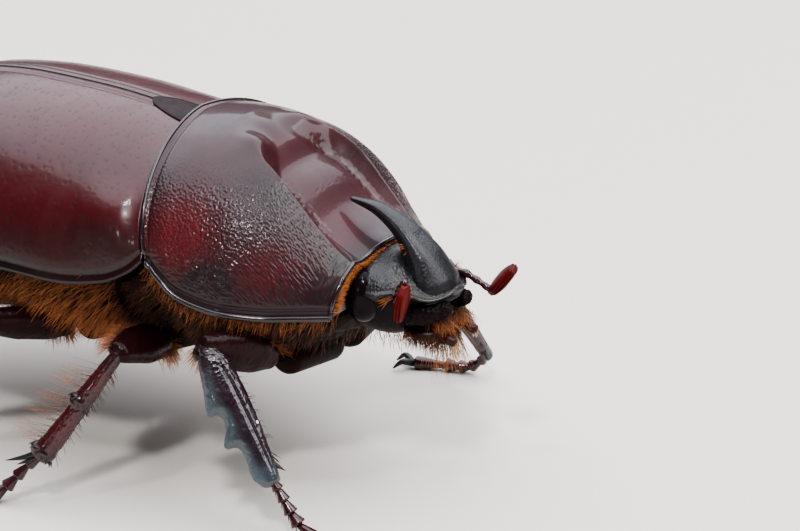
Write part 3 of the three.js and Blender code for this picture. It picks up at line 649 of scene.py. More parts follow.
def cells(u, v, seed=0):
    """Distance to the nearest random point, one in each unit square, and that point's own number."""
    column, row = np.floor(u), np.floor(v)
    best, own = np.full(u.shape, 9.0), np.zeros(u.shape)
    for di in (-1, 0, 1):
        for dj in (-1, 0, 1):
            i, j = column + di, row + dj
            du = i + 0.5 + 0.85 * (scatter(i, j, seed) - 0.5) - u
            dv = j + 0.5 + 0.85 * (scatter(i, j, seed + 1) - 0.5) - v
            distance = np.hypot(du, dv)
            own = np.where(distance < best, scatter(i, j, seed + 2), own)
            best = np.minimum(best, distance)
    return best, own


def pits(u, v, spacing, reach=0.42, seed=0):
    """1 at the middle of each pit and 0 between pits. spacing is (along, around) in mm."""
    distance, own = cells(u / spacing[0], v / spacing[1], seed)
    return np.clip(1 - (distance / (reach * (0.7 + 0.6 * own))) ** 2, 0, 1) ** 1.3


def swell(u, v, size, seed=0):
    """Smooth hills and dips from -1 to 1, about size mm across."""
    u, v = u / size, v / size
    i, j = np.floor(u), np.floor(v)
    s, t = step(0, 1, u - i), step(0, 1, v - j)
    near = scatter(i, j, seed) * (1 - s) + scatter(i + 1, j, seed) * s
    far = scatter(i, j + 1, seed) * (1 - s) + scatter(i + 1, j + 1, seed) * s
    return 2 * (near * (1 - t) + far * t) - 1


sample = np.arange(0, 10, 0.05)
inside_pits = (pits(sample[:, None], sample[None], (1, 1)) > 0).mean()
print("share of a shell that lies in pits:", round(float(inside_pits), 2))

# %% [markdown]
# ## The pronotum
#
# The pronotum is the shield behind the head. In a male it has a smooth sloping hollow for the horn, with
# a rim like a horseshoe and blunt knobs at its back. The hollow could be cut with a boolean, but that
# leaves a rough edge. Here it is a depth that is taken off the height of a dome, so rim and floor are one
# skin. The dome's own sizes come first.

# %% Pronotum sizes
PRONOTUM = {
    "margin_y": (-12.9, -3.6),
    "crown_y": (-13.3, -1.6),
    "half_width": track([[-12.9, 5.05], [-11.6, 6.1], [-10, 7.3], [-7.8, 8.15], [-5.2, 8.4], [-3.6, 8.15]]),
    "margin_z": track([[-12.9, 10.4], [-8, 10.75], [-6.8, 10.95], [-5.6, 11.3], [-4.6, 12.0], [-3.6, 12.7]]),
    "crown_z": track([[-13.3, 13.5], [-12.4, 14.3], [-11, 15.6], [-9.7, 16.9], [-8.6, 17.7], [-6.6, 18.4],
                      [-4, 18.7], [-1.6, 18.6]]),
    "bow": 1.1,
}
HOLLOW_WIDTH = track([[-13.3, 3.1], [-12, 3.4], [-10, 3.5], [-8, 3.15], [-6.6, 2.6], [-1.6, 2.2]])
HOLLOW_DEPTH = track([[-13.3, 0.35], [-12.2, 0.8], [-10, 1.4], [-8.2, 1.4], [-7.0, 0.75], [-5.8, 0.2],
                      [-4.6, 0]])
HOLLOW_WALL, HOLLOW_REAR_WALL = 1.15, 0.9  # how wide the wall is, and how much wider at the blunt rear
KNOBS = [(-2.15, -6.55, 0.22), (0, -5.9, 0.12), (2.15, -6.55, 0.22)]  # x, y and height
KNOB_REACH = 0.85


def dome(shape, s, angle, inset=0.0):
    """Points of a domed back: s from front to rear, angle from the right margin to the left one."""
    margin_y = shape["margin_y"][0] + (shape["margin_y"][1] - shape["margin_y"][0]) * s
    crown_y = shape["crown_y"][0] + (shape["crown_y"][1] - shape["crown_y"][0]) * s
    swing = np.abs(angle / HALF_PI) ** shape["bow"]
    half_width, margin_z = shape["half_width"](margin_y), shape["margin_z"](margin_y)
    rise = shape["crown_z"](crown_y) - margin_z
    return np.stack([np.maximum(half_width - inset, 0.05) * np.sin(angle),
                     crown_y + (margin_y - crown_y) * swing,
                     margin_z + np.maximum(rise - inset, 0.05) * np.cos(angle)], -1)


def hollow_depth(x, y):
    """How far the hollow lies below the dome. Its rim is crisp in front and rounded off at the rear."""
    blunt = step(-8.4, -6.6, y)
    sunk = np.clip((HOLLOW_WIDTH(y) - np.abs(x)) / (HOLLOW_WALL + HOLLOW_REAR_WALL * blunt), 0, 1)
    crisp, soft = 1 - (1 - sunk) ** 2, step(0, 1, sunk)
    depth = HOLLOW_DEPTH(y) * (crisp + (soft - crisp) * blunt)
    for knob_x, knob_y, height in KNOBS:
        depth = depth - height * np.exp(-((x - knob_x) ** 2 + (y - knob_y) ** 2) / KNOB_REACH ** 2)
    return depth


print("hollow, deepest, mm:", round(float(hollow_depth(0, np.linspace(-13, -5, 50)).max()), 2))

# %% [markdown]
# The shield is a loft of arches. Points spaced evenly would cut across the hollow's rim and leave teeth
# in it, so each rim has a column of its own, and the columns are spread between the margin and the rim
# and from rim to rim.

# %% Pronotum arches
FLANK_COLUMNS, BED_COLUMNS, ARCHES = 180, 76, 260


def pronotum_grid():
    """Rows of arches from front to rear. Each rim of the hollow has a column of its own."""
    s = np.linspace(0, 1, ARCHES)[:, None]
    crown_y = PRONOTUM["crown_y"][0] + (PRONOTUM["crown_y"][1] - PRONOTUM["crown_y"][0]) * s
    margin_y = PRONOTUM["margin_y"][0] + (PRONOTUM["margin_y"][1] - PRONOTUM["margin_y"][0]) * s
    rim = np.arcsin(HOLLOW_WIDTH(crown_y) / PRONOTUM["half_width"](margin_y))
    down = np.linspace(1, 0, FLANK_COLUMNS, endpoint=False)[None]
    side = rim + (HALF_PI - rim) * down
    across = np.linspace(1, -1, BED_COLUMNS + 1)[None]
    angle = np.concatenate([side, rim * across, -side[:, ::-1]], axis=1)[:, ::-1]
    grid = dome(PRONOTUM, np.broadcast_to(s, angle.shape), angle)
    grid[..., 2] -= hollow_depth(grid[..., 0], grid[..., 1])
    return grid


grid = pronotum_grid()
normal = normals_of(grid, closed=False)
print("pronotum rows and columns:", grid.shape[:2])

# %% [markdown]
# The sides of the shield are pricked all over. Towards the lower edge the pits run together into wrinkles
# along the body, near the collar they turn upright, and the hollow and the top are smooth. Each kind of
# pit is drawn everywhere and then faded out where it doesn't belong, which gives soft borders between
# them, as on the real shell.

# %% Pits and wrinkles of the pronotum
# spacing (along, around) in mm
ROUND_PITS, WALL_PITS, LONG_WRINKLES, UPRIGHT_WRINKLES = (0.16, 0.15), (0.34, 0.3), (0.45, 0.14), (0.17, 0.85)
forward = lengths(grid, 0)
around = lengths(grid, 1)
middle = around[:, around.shape[1] // 2][:, None]
from_margin = np.minimum(around, around[:, -1:] - around)
around = around - middle
x, y, z = np.moveaxis(grid, -1, 0)
inside_rim = HOLLOW_WIDTH(y) - np.abs(x)
in_hollow = (1 - step(0.1, -0.25, inside_rim)) * step(-6.0, -7.5, y)
top = step(16.2, 17.9, z)
low = step(14.6, 12.6, z)
collar = step(1.9, 0.6, forward) * (1 - in_hollow)
pricked = (1 - 0.93 * top) * (1 - 0.9 * in_hollow)
round_pits = pits(forward, around, ROUND_PITS, 0.46, seed=3) * (1 - 0.8 * low) * (1 - collar)
wall = bell(inside_rim, 0.95, 0.5) * step(-6.8, -8.0, y) * step(-12.2, -11.2, y)
wall_pits = pits(forward, around, WALL_PITS, 0.46, seed=27) * wall
wander = 0.35 * swell(forward, around, 1.3, seed=8)
long_wrinkles = pits(forward, around + wander, LONG_WRINKLES, 0.52, seed=11) * low * (1 - collar)
upright_wrinkles = pits(forward, around, UPRIGHT_WRINKLES, 0.52, seed=17) * collar
relief = (round_pits + long_wrinkles + upright_wrinkles) * pricked + 0.5 * wall_pits
print("share of the shield that is pitted:", round(float((relief > 0.2).mean()), 2))

# %% [markdown]
# The relief is pushed in along the normals, together with a groove behind each edge and a slight
# unevenness that makes the highlights wander. A displace modifier would need the same numbers as a
# texture, so the points are simply moved. Red glows through the flank in two places, round a dark patch.
# The hollow and the top get a little more red, as a painted tint of the sheen on them.

# %% Pronotum surface
MARGIN_GROOVE, REAR_GROOVE = 0.10, 0.07  # mm deep
FINE_WAVES, BROAD_WAVES = 0.012, 0.008
margin_groove = MARGIN_GROOVE * bell(from_margin, 0.42, 0.16)
rear_groove = REAR_GROOVE * bell(forward[-1:] - forward, 0.38, 0.14)
uneven = (FINE_WAVES * swell(forward, around, 1.1, seed=21) * (1 - in_hollow)
          + BROAD_WAVES * swell(forward, around, 2.6, 4))
fade = step(0.45, 0.9, from_margin) * step(0, 0.25, forward) * step(0, 0.2, forward[-1:] - forward)
pit_depth = 0.03 + 0.016 * bell(y, -8.2, 1.6) * bell(z, 14.2, 2.2)
grid = grid - normal * ((pit_depth * relief - uneven) * fade + margin_groove + rear_groove)[..., None]
flank_glow = bell(y, -5.3, 1.9) * bell(z, 14.3, 2.0) + 0.55 * bell(y, -9.9, 1.8) * bell(z, 12.9, 1.4)
dark_patch = bell(y, -7.3, 1.1) * bell(z, 12.3, 0.8)
# the hollow and the top get more red as a painted tint of their sheen
glow = np.clip(1.1 * flank_glow - 0.9 * dark_patch + 0.18 * in_hollow + 0.12 * top, 0, 1)
glow = glow * step(0.3, 1.3, from_margin) * step(0.2, 1.6, forward)
under_edges = [grid[:, -1:] * np.array([[[share, 1, 1]]]) for share in (0.5, -0.5)]
pad = [(0, 0), (0, len(under_edges))]
loft("pronotum_fine", np.concatenate([grid, *under_edges], axis=1), SHIELD, "pronotum", ["pronotum"],
     np.pad(glow, pad), np.pad(relief * fade, pad))
print("pronotum points:", grid.shape[0] * grid.shape[1])

# %% [markdown]
# Legs, feelers, jaws and palps are limbs, and every fine rim is a bead. A bevelled curve could make both,
# but its section is the same all along. So a limb is a loft of elliptical rings along a smooth path, with
# rounded ends, and a bead is a tube of one radius along many points.

# %% Limbs and tubes
LIMB_CAP = 0.6  # how far a limb's rounded end stands out, in half depths
CAP_RINGS = 5
BEAD_SIDES = 10
ANY_SIDE = [0.13, 0.21, 0.97]  # the broad way of a round limb, where any way will do


def path_through(points):
    """A smooth path through points, as a function of the share of its length."""
    points = np.array(points, float)
    run = np.insert(np.linalg.norm(np.diff(points, axis=0), axis=1).cumsum(), 0, 0)
    curves = [track(list(zip(run / run[-1], column))) for column in points.T]
    return lambda t: np.stack([curve(t) for curve in curves], -1)


def limb_grid(path, half_widths, half_depths, wide, rows=40, columns=24):
    """Elliptical rings along a path, with rounded ends. wide is the direction of the broad axis."""
    way = path_through(path)
    cap = np.sin(np.linspace(0, HALF_PI, CAP_RINGS + 1)[:-1])
    out = np.cos(np.arcsin(cap))
    t = np.concatenate([np.zeros(CAP_RINGS), np.linspace(0, 1, rows), np.ones(CAP_RINGS)])
    push = np.concatenate([-out, np.zeros(rows), out[::-1]])
    shrink = np.concatenate([np.maximum(cap, 0.02), np.ones(rows), np.maximum(cap[::-1], 0.02)])
    width, depth = even(half_widths)(t) * shrink, even(half_depths)(t) * shrink
    along = unit(way(np.minimum(t + 0.01, 1)) - way(np.maximum(t - 0.01, 0)))
    middle = way(t) + along * (push * LIMB_CAP * even(half_depths)(t))[:, None]
    wide = np.array(wide, float)
    broad = unit(wide - along * (along @ wide)[:, None])
    thin = np.cross(along, broad)
    turn = turns(columns)
    return (middle[:, None] + broad[:, None] * (width[:, None] * np.cos(turn))[..., None]
            + thin[:, None] * (depth[:, None] * np.sin(turn))[..., None])


def swept_bead(name, points, radius, material, slot):
    """A tube of one radius along many points."""
    along = unit(np.gradient(points, axis=0))
    side = unit(np.cross(along, [0.3, 0.2, 1.0]))
    up = np.cross(side, along)
    turn = turns(BEAD_SIDES)
    rings = points[:, None] + radius * (side[:, None] * np.cos(turn)[None, :, None]
                                        + up[:, None] * np.sin(turn)[None, :, None])
    loft(name, rings, material, slot)


print("rings of a plain limb:", len(limb_grid([[0, 0, 0], [0, 0, 1]], [1, 1], [1, 1], ANY_SIDE)))

# %% [markdown]
# A fine black bead runs round the whole shield, and a light line runs along it. It could be a raised edge
# of the shield's own skin, but a tube that follows the margin, the front edge and the rear edge is
# thinner and crisper, and its gloss is its own.

# %% Pronotum bead
SIDE_BEAD, FRONT_BEAD, REAR_BEAD = 0.17, 0.13, 0.10  # mm, radius
for name, points, radius in [("right", grid[:, 0], SIDE_BEAD), ("left", grid[:, -1], SIDE_BEAD),
                             ("front", grid[0, ::2], FRONT_BEAD), ("rear", grid[-1, ::2], REAR_BEAD)]:
    swept_bead(f"pronotum_bead_{name}", points, radius, RIM, "pronotum")
print("bead along one side, mm:", round(float(lengths(grid[:, 0][None], 1)[0, -1]), 1))

# %% [markdown]
# ## The wing cases
#
# The two wing cases, or elytra, are hardened fore wings that meet on the midline. They are smooth and
# glossy, with faint rows of pricks, a raised seam, a blunt shoulder and a turned edge. A solidify modifier
# could thicken one sheet, but its edges would come out square. So each case is a shell lofted as an outer
# arc and an inner arc, and the same dome serves as for the shield, with other tracks.

# %% Wing case sizes
ELYTRA = {
    "margin_y": (-3.3, 20.15),
    "crown_y": (-1.4, 20.3),
    "half_width": track([[-3.3, 8.05], [-2, 8.55], [0, 8.85], [3, 9.2], [7, 9.3], [11, 9.0], [14, 8.3],
                         [16.5, 7.1], [18.3, 5.5], [19.5, 3.6], [20.15, 1.7]]),
    "margin_z": track([[-3.3, 12.7], [-2.4, 11.9], [-1, 11.3], [1.5, 10.95], [6, 11.1], [10, 10.9],
                       [14, 10.3], [18, 9.7], [20.15, 9.4]]),
    "crown_z": track([[-1.4, 18.0], [1.5, 18.55], [5, 18.85], [9, 18.95], [12.4, 18.7], [15, 17.95],
                      [17, 16.5], [18.5, 14.5], [19.6, 12.2], [20.3, 10.3]]),
    "bow": 1.1,
}
CASE_THICKNESS = 0.75
SEAM_GAP = 0.06
SHOULDER = (7.35, -0.6, 14.6)
TAIL_KNOB = (5.6, 16.6, 14.2)
CASE_ROWS, OUTER_COLUMNS, INNER_COLUMNS = 230, 150, 14
print("wing cases, widest, mm:", round(2 * float(ELYTRA["half_width"](np.linspace(0, 15, 99)).max()), 1))

# %% [markdown]
# The relief is a sum of small parts: a ridge and a groove at the seam and at the turned edge, pricks in
# rows and between them, long low waves, and two humps. Red glows in the middle of each case and fades
# towards its edges, where the shell is thick. The top of each case gets more red as a painted tint of
# its sheen, and less red just below the shoulder hump, as painted shade.

# %% Wing cases
SEAM_RELIEF, EDGE_RELIEF, PRICK_DEPTH, CASE_WAVES = 0.05, 0.08, 0.012, 0.010  # mm


def wing_case(side, name):
    """One case. side is 1 for the left one and -1 for the right one."""
    s = np.linspace(0, 1, CASE_ROWS)[:, None]
    angle = side * HALF_PI * np.linspace(0, 1, OUTER_COLUMNS)[None]
    grid = dome(ELYTRA, s, angle)
    grid[:, 0, 0] = side * SEAM_GAP
    normal = normals_of(grid, closed=False)
    normal *= np.sign((normal[..., 2:]).mean())
    backward, out = lengths(grid, 0), lengths(grid, 1)
    to_margin = out[:, -1:] - out
    x, y, z = np.moveaxis(grid, -1, 0)

    def hump(place, reach, height):
        gap = (np.abs(x) - place[0]) ** 2 + ((y - place[1]) / 1.3) ** 2 + (z - place[2]) ** 2
        return height * np.exp(-gap / reach ** 2)

    seam = SEAM_RELIEF * bell(out, 0.28, 0.16) - SEAM_RELIEF * bell(out, 0.62, 0.12)
    margin = EDGE_RELIEF * bell(to_margin, 0.16, 0.14) - EDGE_RELIEF * bell(to_margin, 0.5, 0.16)
    pricks = pits(backward, out, (0.62, 0.55), 0.17, seed=31)
    rows_of_pricks = pits(backward, out, (0.42, 1.45), 0.13, seed=37)
    waves = CASE_WAVES * swell(backward, out, 3.6, 41)
    fade = step(0, 0.5, backward) * step(0, 0.4, to_margin) * step(0, 0.3, out)
    lift = seam + margin + (waves - PRICK_DEPTH * pricks - PRICK_DEPTH * rows_of_pricks) * fade
    lift = lift + hump(SHOULDER, 1.5, 0.34) * step(0, 1.2, backward) + hump(TAIL_KNOB, 1.9, 0.25)
    grid = grid + normal * lift[..., None]
    grid[:, 0, 0] = side * SEAM_GAP
    under = dome(ELYTRA, s, side * HALF_PI * np.linspace(1, 0, INNER_COLUMNS)[None], CASE_THICKNESS)
    under[:, -1, 0] = side * SEAM_GAP
    glow = 0.12 + 0.5 * bell(z, 15.0, 1.8) + 0.12 * bell(y, 4, 6) - 0.5 * bell(to_margin, 0, 0.7)
    # more red on top is a painted tint of the sheen; less red just below the shoulder is painted shade
    glow = glow + 0.3 * step(16.4, 18.2, z) - 0.55 * hump(SHOULDER, 1.7, 1.0) * step(14.8, 13.4, z)
    glow = np.clip(glow - 0.4 * bell(out, 0, 0.35), 0, 1)
    pad = [(0, 0), (0, INNER_COLUMNS)]
    loft(f"{name}_fine", np.concatenate([grid, under], axis=1), WING_CASE, "wing_case", [name],
         np.pad(glow, pad), np.pad(0.8 * np.maximum(pricks, rows_of_pricks) * fade, pad))


wing_case(1, "elytron_left")
wing_case(-1, "elytron_right")
print("wing case points each:", CASE_ROWS * (OUTER_COLUMNS + INNER_COLUMNS))

# %% [markdown]
# ## The head
#
# The head is a low wedge. Its widest line is a thin ledge, the canthus, that runs over each eye. In front
# the clypeus narrows to an upturned lip. A box could be modelled and bevelled towards this form, but four
# tracks say it all: how wide the head is, how high its crown, how low its throat, and where the brim
# between the two runs.

# %% Head form
HEAD = {
    "half_width": track([[-12.3, 2.9], [-13.0, 3.15], [-13.8, 3.35], [-14.5, 3.3], [-15.2, 2.75],
                         [-15.8, 2.25], [-16.5, 1.95], [-17.1, 1.4], [-17.5, 0.8], [-17.6, 0.6]]),
    "crown_z": track([[-12.3, 12.4], [-13.5, 12.9], [-14.4, 12.85], [-15.4, 12.15], [-16.2, 11.6],
                      [-17.0, 11.3], [-17.6, 11.35]]),
    "throat_z": track([[-12.3, 8.4], [-14, 8.2], [-14.9, 8.6], [-15.7, 9.4], [-16.5, 10.2], [-17.1, 10.65],
                       [-17.6, 10.95]]),
    "brim_z": track([[-12.3, 11.0], [-14.2, 11.35], [-15.4, 11.45], [-16.3, 11.2], [-17.0, 11.0],
                     [-17.6, 11.15]]),
}
HEAD_REAR = -12.3
HEAD_ROWS, HEAD_COLUMNS = 180, 220


def head_grid():
    """Rings from the neck to the lip. Below the brim the cheeks are tucked in a little."""
    y = np.linspace(HEAD_REAR, HEAD_FRONT, HEAD_ROWS)[:, None]
    turn = turns(HEAD_COLUMNS)[None]
    c, s = np.cos(turn), np.sin(turn)
    width, brim = HEAD["half_width"](y), HEAD["brim_z"](y)
    tuck = 1 - 0.14 * np.abs(np.minimum(s, 0)) ** 0.5 * step(-12.6, -14.2, y)
    tuck = np.where(s > 0, 1, tuck)
    height = np.where(s > 0, HEAD["crown_z"](y) - brim, brim - HEAD["throat_z"](y)) * s
    return np.stack([width * c * tuck, np.broadcast_to(y, height.shape), brim + height], -1), turn


grid, turn = head_grid()
print("head points:", grid.shape[0] * grid.shape[1])

# %% [markdown]
# Close pits cover the crown, and dust lodges in them, while the temple behind the ledge is bare and
# polished. Below the brim the head hardly shines. One blended material could fade from crown to cheek,
# but the brim is a crisp border, so the faces below it simply get a second material, darker as painted
# shade.

# %% Head surface
LEDGE = 0.17  # mm, how far the ledge stands out
BRIM_COLUMNS = 4  # columns on each side of the brim that keep the crown's material
normal = normals_of(grid)
forward, around = lengths(grid, 0), lengths(grid, 1)
x, y, z = np.moveaxis(grid, -1, 0)
upper = step(-0.15, 0.25, np.sin(turn)) * np.ones_like(x)
ledge = bell(np.sin(turn), 0.03, 0.07) * step(-13.6, -14.3, y) * step(-17.5, -16.6, y)
temple = bell(np.abs(x), 2.75, 0.55) * bell(y, -13.45, 0.75) * upper
coarse = pits(forward, around, (0.17, 0.17), 0.5, seed=51)
fine = pits(forward, around, (0.09, 0.09), 0.5, seed=57)
lumps = swell(forward, around, 0.5, 61)
relief = np.clip((0.8 * coarse + 0.4 * fine) * (0.25 + 0.75 * upper) * (1 - 0.9 * temple), 0, 1)
lift = LEDGE * ledge - 0.04 * relief + 0.025 * lumps * upper * (1 - temple)
grid = grid + normal * lift[..., None]
piece = loft("head_fine", grid, BLACK, "black_horn", ["head"], glow=np.maximum(1 - upper, temple),
             relief=relief * (1 - temple) - temple)
piece.data.materials.append(SHADED_CHEEK)
rows, columns = grid.shape[:2]
column = np.arange(len(piece.data.polygons)) % columns
below = (column >= columns / 2 + BRIM_COLUMNS) & (column < columns - BRIM_COLUMNS)
below &= np.arange(len(column)) < (rows - 1) * columns
piece.data.polygons.foreach_set("material_index", below.astype(np.int32))
print("faces below the brim:", int(below.sum()))

# %% [markdown]
# A thin bright line runs along the ledge and round the lip. It is a bead like the shield's, laid on the
# ledge's own edge, because a highlight that narrow would get lost on a rounded skin.

# %% Clypeus lip
LIP_RADIUS = 0.06
LIP_POINTS = 40  # on each side
LIP_REAR = -15.3
way_forward = np.linspace(LIP_REAR, HEAD_FRONT, LIP_POINTS)
lip_y = np.concatenate([way_forward, way_forward[::-1]])
lip_side = np.repeat([-1, 1], LIP_POINTS)
lip_x = HEAD["half_width"](lip_y) + (LEDGE + 0.02) * step(-17.5, -16.6, lip_y)
lip = np.stack([lip_side * lip_x, lip_y - 0.03, HEAD["brim_z"](lip_y) + 0.02], -1)
for smoothing in range(3):  # soften the corners where the two sides meet
    lip[1:-1] = (lip[:-2] + lip[1:-1] + lip[2:]) / 3
lip[:, 2] += 0.12 * bell(np.abs(lip[:, 0]), 0.55, 0.3)  # two small upturned teeth
swept_bead("clypeus_lip", lip, LIP_RADIUS, RIM, "black_horn")
print("lip, mm:", round(float(lengths(lip[None], 1)[0, -1]), 1))

# %% [markdown]
# The eyes are black glossy globes behind the ledge, a little taller than they are wide. They are made of
# thousands of tiny lenses. Those are far too many to model, so a fine cell bump gives them, and the shine
# breaks up slightly.

# %% Eyes
EYE_CENTRE, EYE_RADII = (2.6, -13.4, 10.95), (1.0, 1.05, 1.42)
SIDES = ((1, "left"), (-1, "right"))


def ball_grid(centre, radii, rows=40, columns=48):
    """Rings of an ellipsoid from the bottom up."""
    up = np.linspace(-HALF_PI, HALF_PI, rows)[1:-1, None]
    turn = turns(columns)[None]
    shape = np.stack([np.cos(up) * np.cos(turn), np.cos(up) * np.sin(turn),
                      np.sin(up) * np.ones_like(turn)], -1)
    return np.array(centre) + shape * np.array(radii)


def on_side(point, side):
    """A point of the left side, or its mirror image on the right side."""
    return np.array([side * point[0], point[1], point[2]])


for side, label in SIDES:
    ball = ball_grid(on_side(EYE_CENTRE, side), EYE_RADII, 60, 80)
    loft(f"eye_{label}_fine", ball, EYE, "eye", [f"eye_{label}"])
print("eyes, wide, long and high, mm:", [2 * radius for radius in EYE_RADII])

# %% [markdown]
# ## The horn
#
# The horn rises from the clypeus and curves back over the hollow. Its front face is flat with a crisp
# edge down each side, and behind it is drawn in to a keel. A bevelled curve is always as wide in front
# as behind, so the ring is a formula of its own: a bulge in front whose corners can be sharp or round,
# and a keel behind. It is swept along the curve and made smaller towards the tip.

# %% Horn
HORN_PATH = [[0, -16.1, 11.3], [0, -15.55, 12.5], [0, -14.85, 13.55], [0, -13.75, 14.4], [0, -12.4, 14.95],
             [0, -11.0, 15.1]]
HORN_HALF_WIDTH = even([1.55, 1.2, 0.86, 0.58, 0.36, 0.13])
HORN_HALF_DEPTH = even([1.3, 1.0, 0.74, 0.52, 0.33, 0.12])
FRONT_BULGE = track([[-0.2, 0.85], [0, 0.95], [0.2, 0.9], [0.42, 0.62], [1, 0.62]])
FRONT_CORNER = track([[-0.2, 1.0], [0.1, 0.85], [0.4, 0.55], [1, 0.55]])
KEEL, KEEL_SHARPNESS = 1.25, 1.45
HORN_ROOT, ROOT_SLOPE = -0.16, [0, 2.2, 6.0]  # how far the horn starts inside the head, and which way
HORN_ROWS, HORN_COLUMNS = 150, 120
BLUNT_TIP = 0.025  # the share of the length that is rounded off


def horn_grid():
    """Rings from inside the head to the tip, with the sine of their turn and the share of the length."""
    t = np.linspace(HORN_ROOT, 1, HORN_ROWS)
    curves = [even(column) for column in np.array(HORN_PATH).T]
    middle = np.stack([curve(t) for curve in curves], -1)
    first = middle[np.searchsorted(t, 0)]
    middle[t < 0] = first + np.outer(t[t < 0], ROOT_SLOPE)
    along = unit(np.gradient(middle, axis=0))
    front = unit(np.array([0, -1, 0]) + along * along[:, 1:2])
    turn = turns(HORN_COLUMNS)
    c, s = np.cos(turn), np.sin(turn)
    bulge, corner = FRONT_BULGE(t)[:, None], FRONT_CORNER(t)[:, None]
    ring = np.where(s > 0, bulge * np.abs(s) ** corner, -KEEL * np.abs(s) ** KEEL_SHARPNESS)
    past = np.clip(t - (1 - BLUNT_TIP), 0, 1) / BLUNT_TIP
    blunt = np.sqrt(np.clip(1 - past ** 2, 0.02, 1))
    width, depth = HORN_HALF_WIDTH(t) * blunt, HORN_HALF_DEPTH(t) * blunt
    grid = middle[:, None] + front[:, None] * (depth[:, None] * ring)[..., None]
    grid[..., 0] += width[:, None] * c
    return grid, s[None], t[:, None]


grid, s, t = horn_grid()
print("horn along its curve, mm:", round(float(lengths(grid.mean(1)[None], 1)[0, -1]), 1))

# %% [markdown]
# The front of the horn is pricked and nearly smooth towards the tip. Its foot is rough at the sides, and
# a slight crest sharpens both edges.

# %% Horn surface
normal = normals_of(grid)
forward, around = lengths(grid, 0), lengths(grid, 1)
facing = step(-0.05, 0.2, s) * (1 - 0.6 * step(0.45, 0.8, t))
relief = pits(forward, around, (0.14, 0.12), 0.42, seed=71) * facing
crest = bell(np.abs(s), 0.0, 0.12) * step(0.9, 0.5, t)
base_rough = pits(forward, around, (0.2, 0.16), 0.5, seed=77) * (1 - facing) * step(0.45, 0.15, t)
lift = 0.05 * crest - 0.016 * relief - 0.05 * base_rough
grid = grid + normal * lift[..., None]
loft("horn_fine", grid, BLACK, "black_horn", ["horn"], relief=0.55 * relief + base_rough)
print("horn points:", grid.shape[0] * grid.shape[1])

# %% [markdown]
# ## Mouth and feelers
#
# Under the lip sit two blunt mandibles, a hairy lower lip and two palps. They are small and half hidden,
# so each is one limb along a short path, and the knobbly skin of the jaws comes from the same pits as the
# shield's. A remeshed sculpt would show no more at this size.

# %% Mouth parts
JAW_ROOT, JAW_TIP, JAW_BEND = (1.4, -15.5, 10.0), (0.9, -17.5, 10.45), (0.15, 0, -0.1)
PALP_PATH = (0.85, -16.6, 9.2), (0.98, -17.3, 8.85), (1.05, -17.95, 8.65)
PALP_HALF_WIDTHS, PALP_HALF_DEPTHS = [0.2, 0.26, 0.19, 0.28, 0.27], [0.2, 0.26, 0.19, 0.28, 0.2]
LOWER_LIP_CENTRE, LOWER_LIP_RADII = (0, -15.9, 8.75), (1.5, 1.35, 0.6)
for side, label in SIDES:
    root, tip = on_side(JAW_ROOT, side), on_side(JAW_TIP, side)
    elbow = (root + tip) / 2 + on_side(JAW_BEND, side)
    grid = limb_grid([root, elbow, tip], [0.72, 0.62, 0.42], [0.72, 0.6, 0.4], ANY_SIDE, 60, 56)
    normal = normals_of(grid)
    along, around = lengths(grid, 0), lengths(grid, 1)
    knobbly = pits(along, around, (0.24, 0.2), 0.55, seed=81)
    grid = grid + normal * (0.05 * swell(along, around, 0.4, 83) - 0.05 * knobbly)[..., None]
    loft(f"mandible_{label}_fine", grid, JAW, "black_horn", [f"mandible_{label}"], relief=knobbly)
    palp = limb_grid([on_side(point, side) for point in PALP_PATH], PALP_HALF_WIDTHS, PALP_HALF_DEPTHS,
                     ANY_SIDE, 40, 20)
    loft(f"palp_{label}_fine", palp, MOUTH, "leg", [f"palp_{label}"])
grid = ball_grid(LOWER_LIP_CENTRE, LOWER_LIP_RADII)
labium = {"grid": grid, "normal": normals_of(grid)}
loft("labium_fine", grid, MOUTH, "belly", ["labium"])
print("jaw, mm:", round(math.dist(JAW_ROOT, JAW_TIP), 2))

# %% [markdown]
# Each feeler is a stalk of small joints that ends in a club of three leaves. The left one is held out and
# the right one is folded along the cheek. Separate beads would need a joint each, so the stalk is one limb
# whose width swells and narrows, and the three leaves lie side by side with thin gaps.

# %% Feelers
# stalk path, club path and how much red glows through the club, a painted glow that is stronger on the right
# club, where light shines through it
ANTENNAE = {
    "left": ([[2.2, -15.75, 11.0], [1.95, -16.6, 11.35], [2.0, -17.3, 11.1], [2.05, -18.3, 10.62]],
             [[2.05, -18.35, 10.6], [2.0, -19.75, 12.1]], 0.2),
    "right": ([[-2.3, -15.3, 10.9], [-2.95, -15.85, 11.9], [-3.3, -16.4, 12.5]],
              [[-3.4, -16.45, 12.3], [-3.6, -16.15, 10.45]], 0.35),
}
STALK_JOINTS = [0.30, 0.36, 0.24, 0.17, 0.23, 0.16, 0.21, 0.15, 0.2, 0.16]
LEAF_HALF_WIDTHS, LEAF_HALF_DEPTHS = [0.38, 0.68, 0.72, 0.6, 0.38], [0.13, 0.18, 0.18, 0.16, 0.12]
LEAF_GAP = 0.15
LEAF_SHORTER = 0.4  # how much shorter the outer leaves are, for each mm that they stand off
BROAD_WAY = np.array([0.9, 0.2, 0.3])
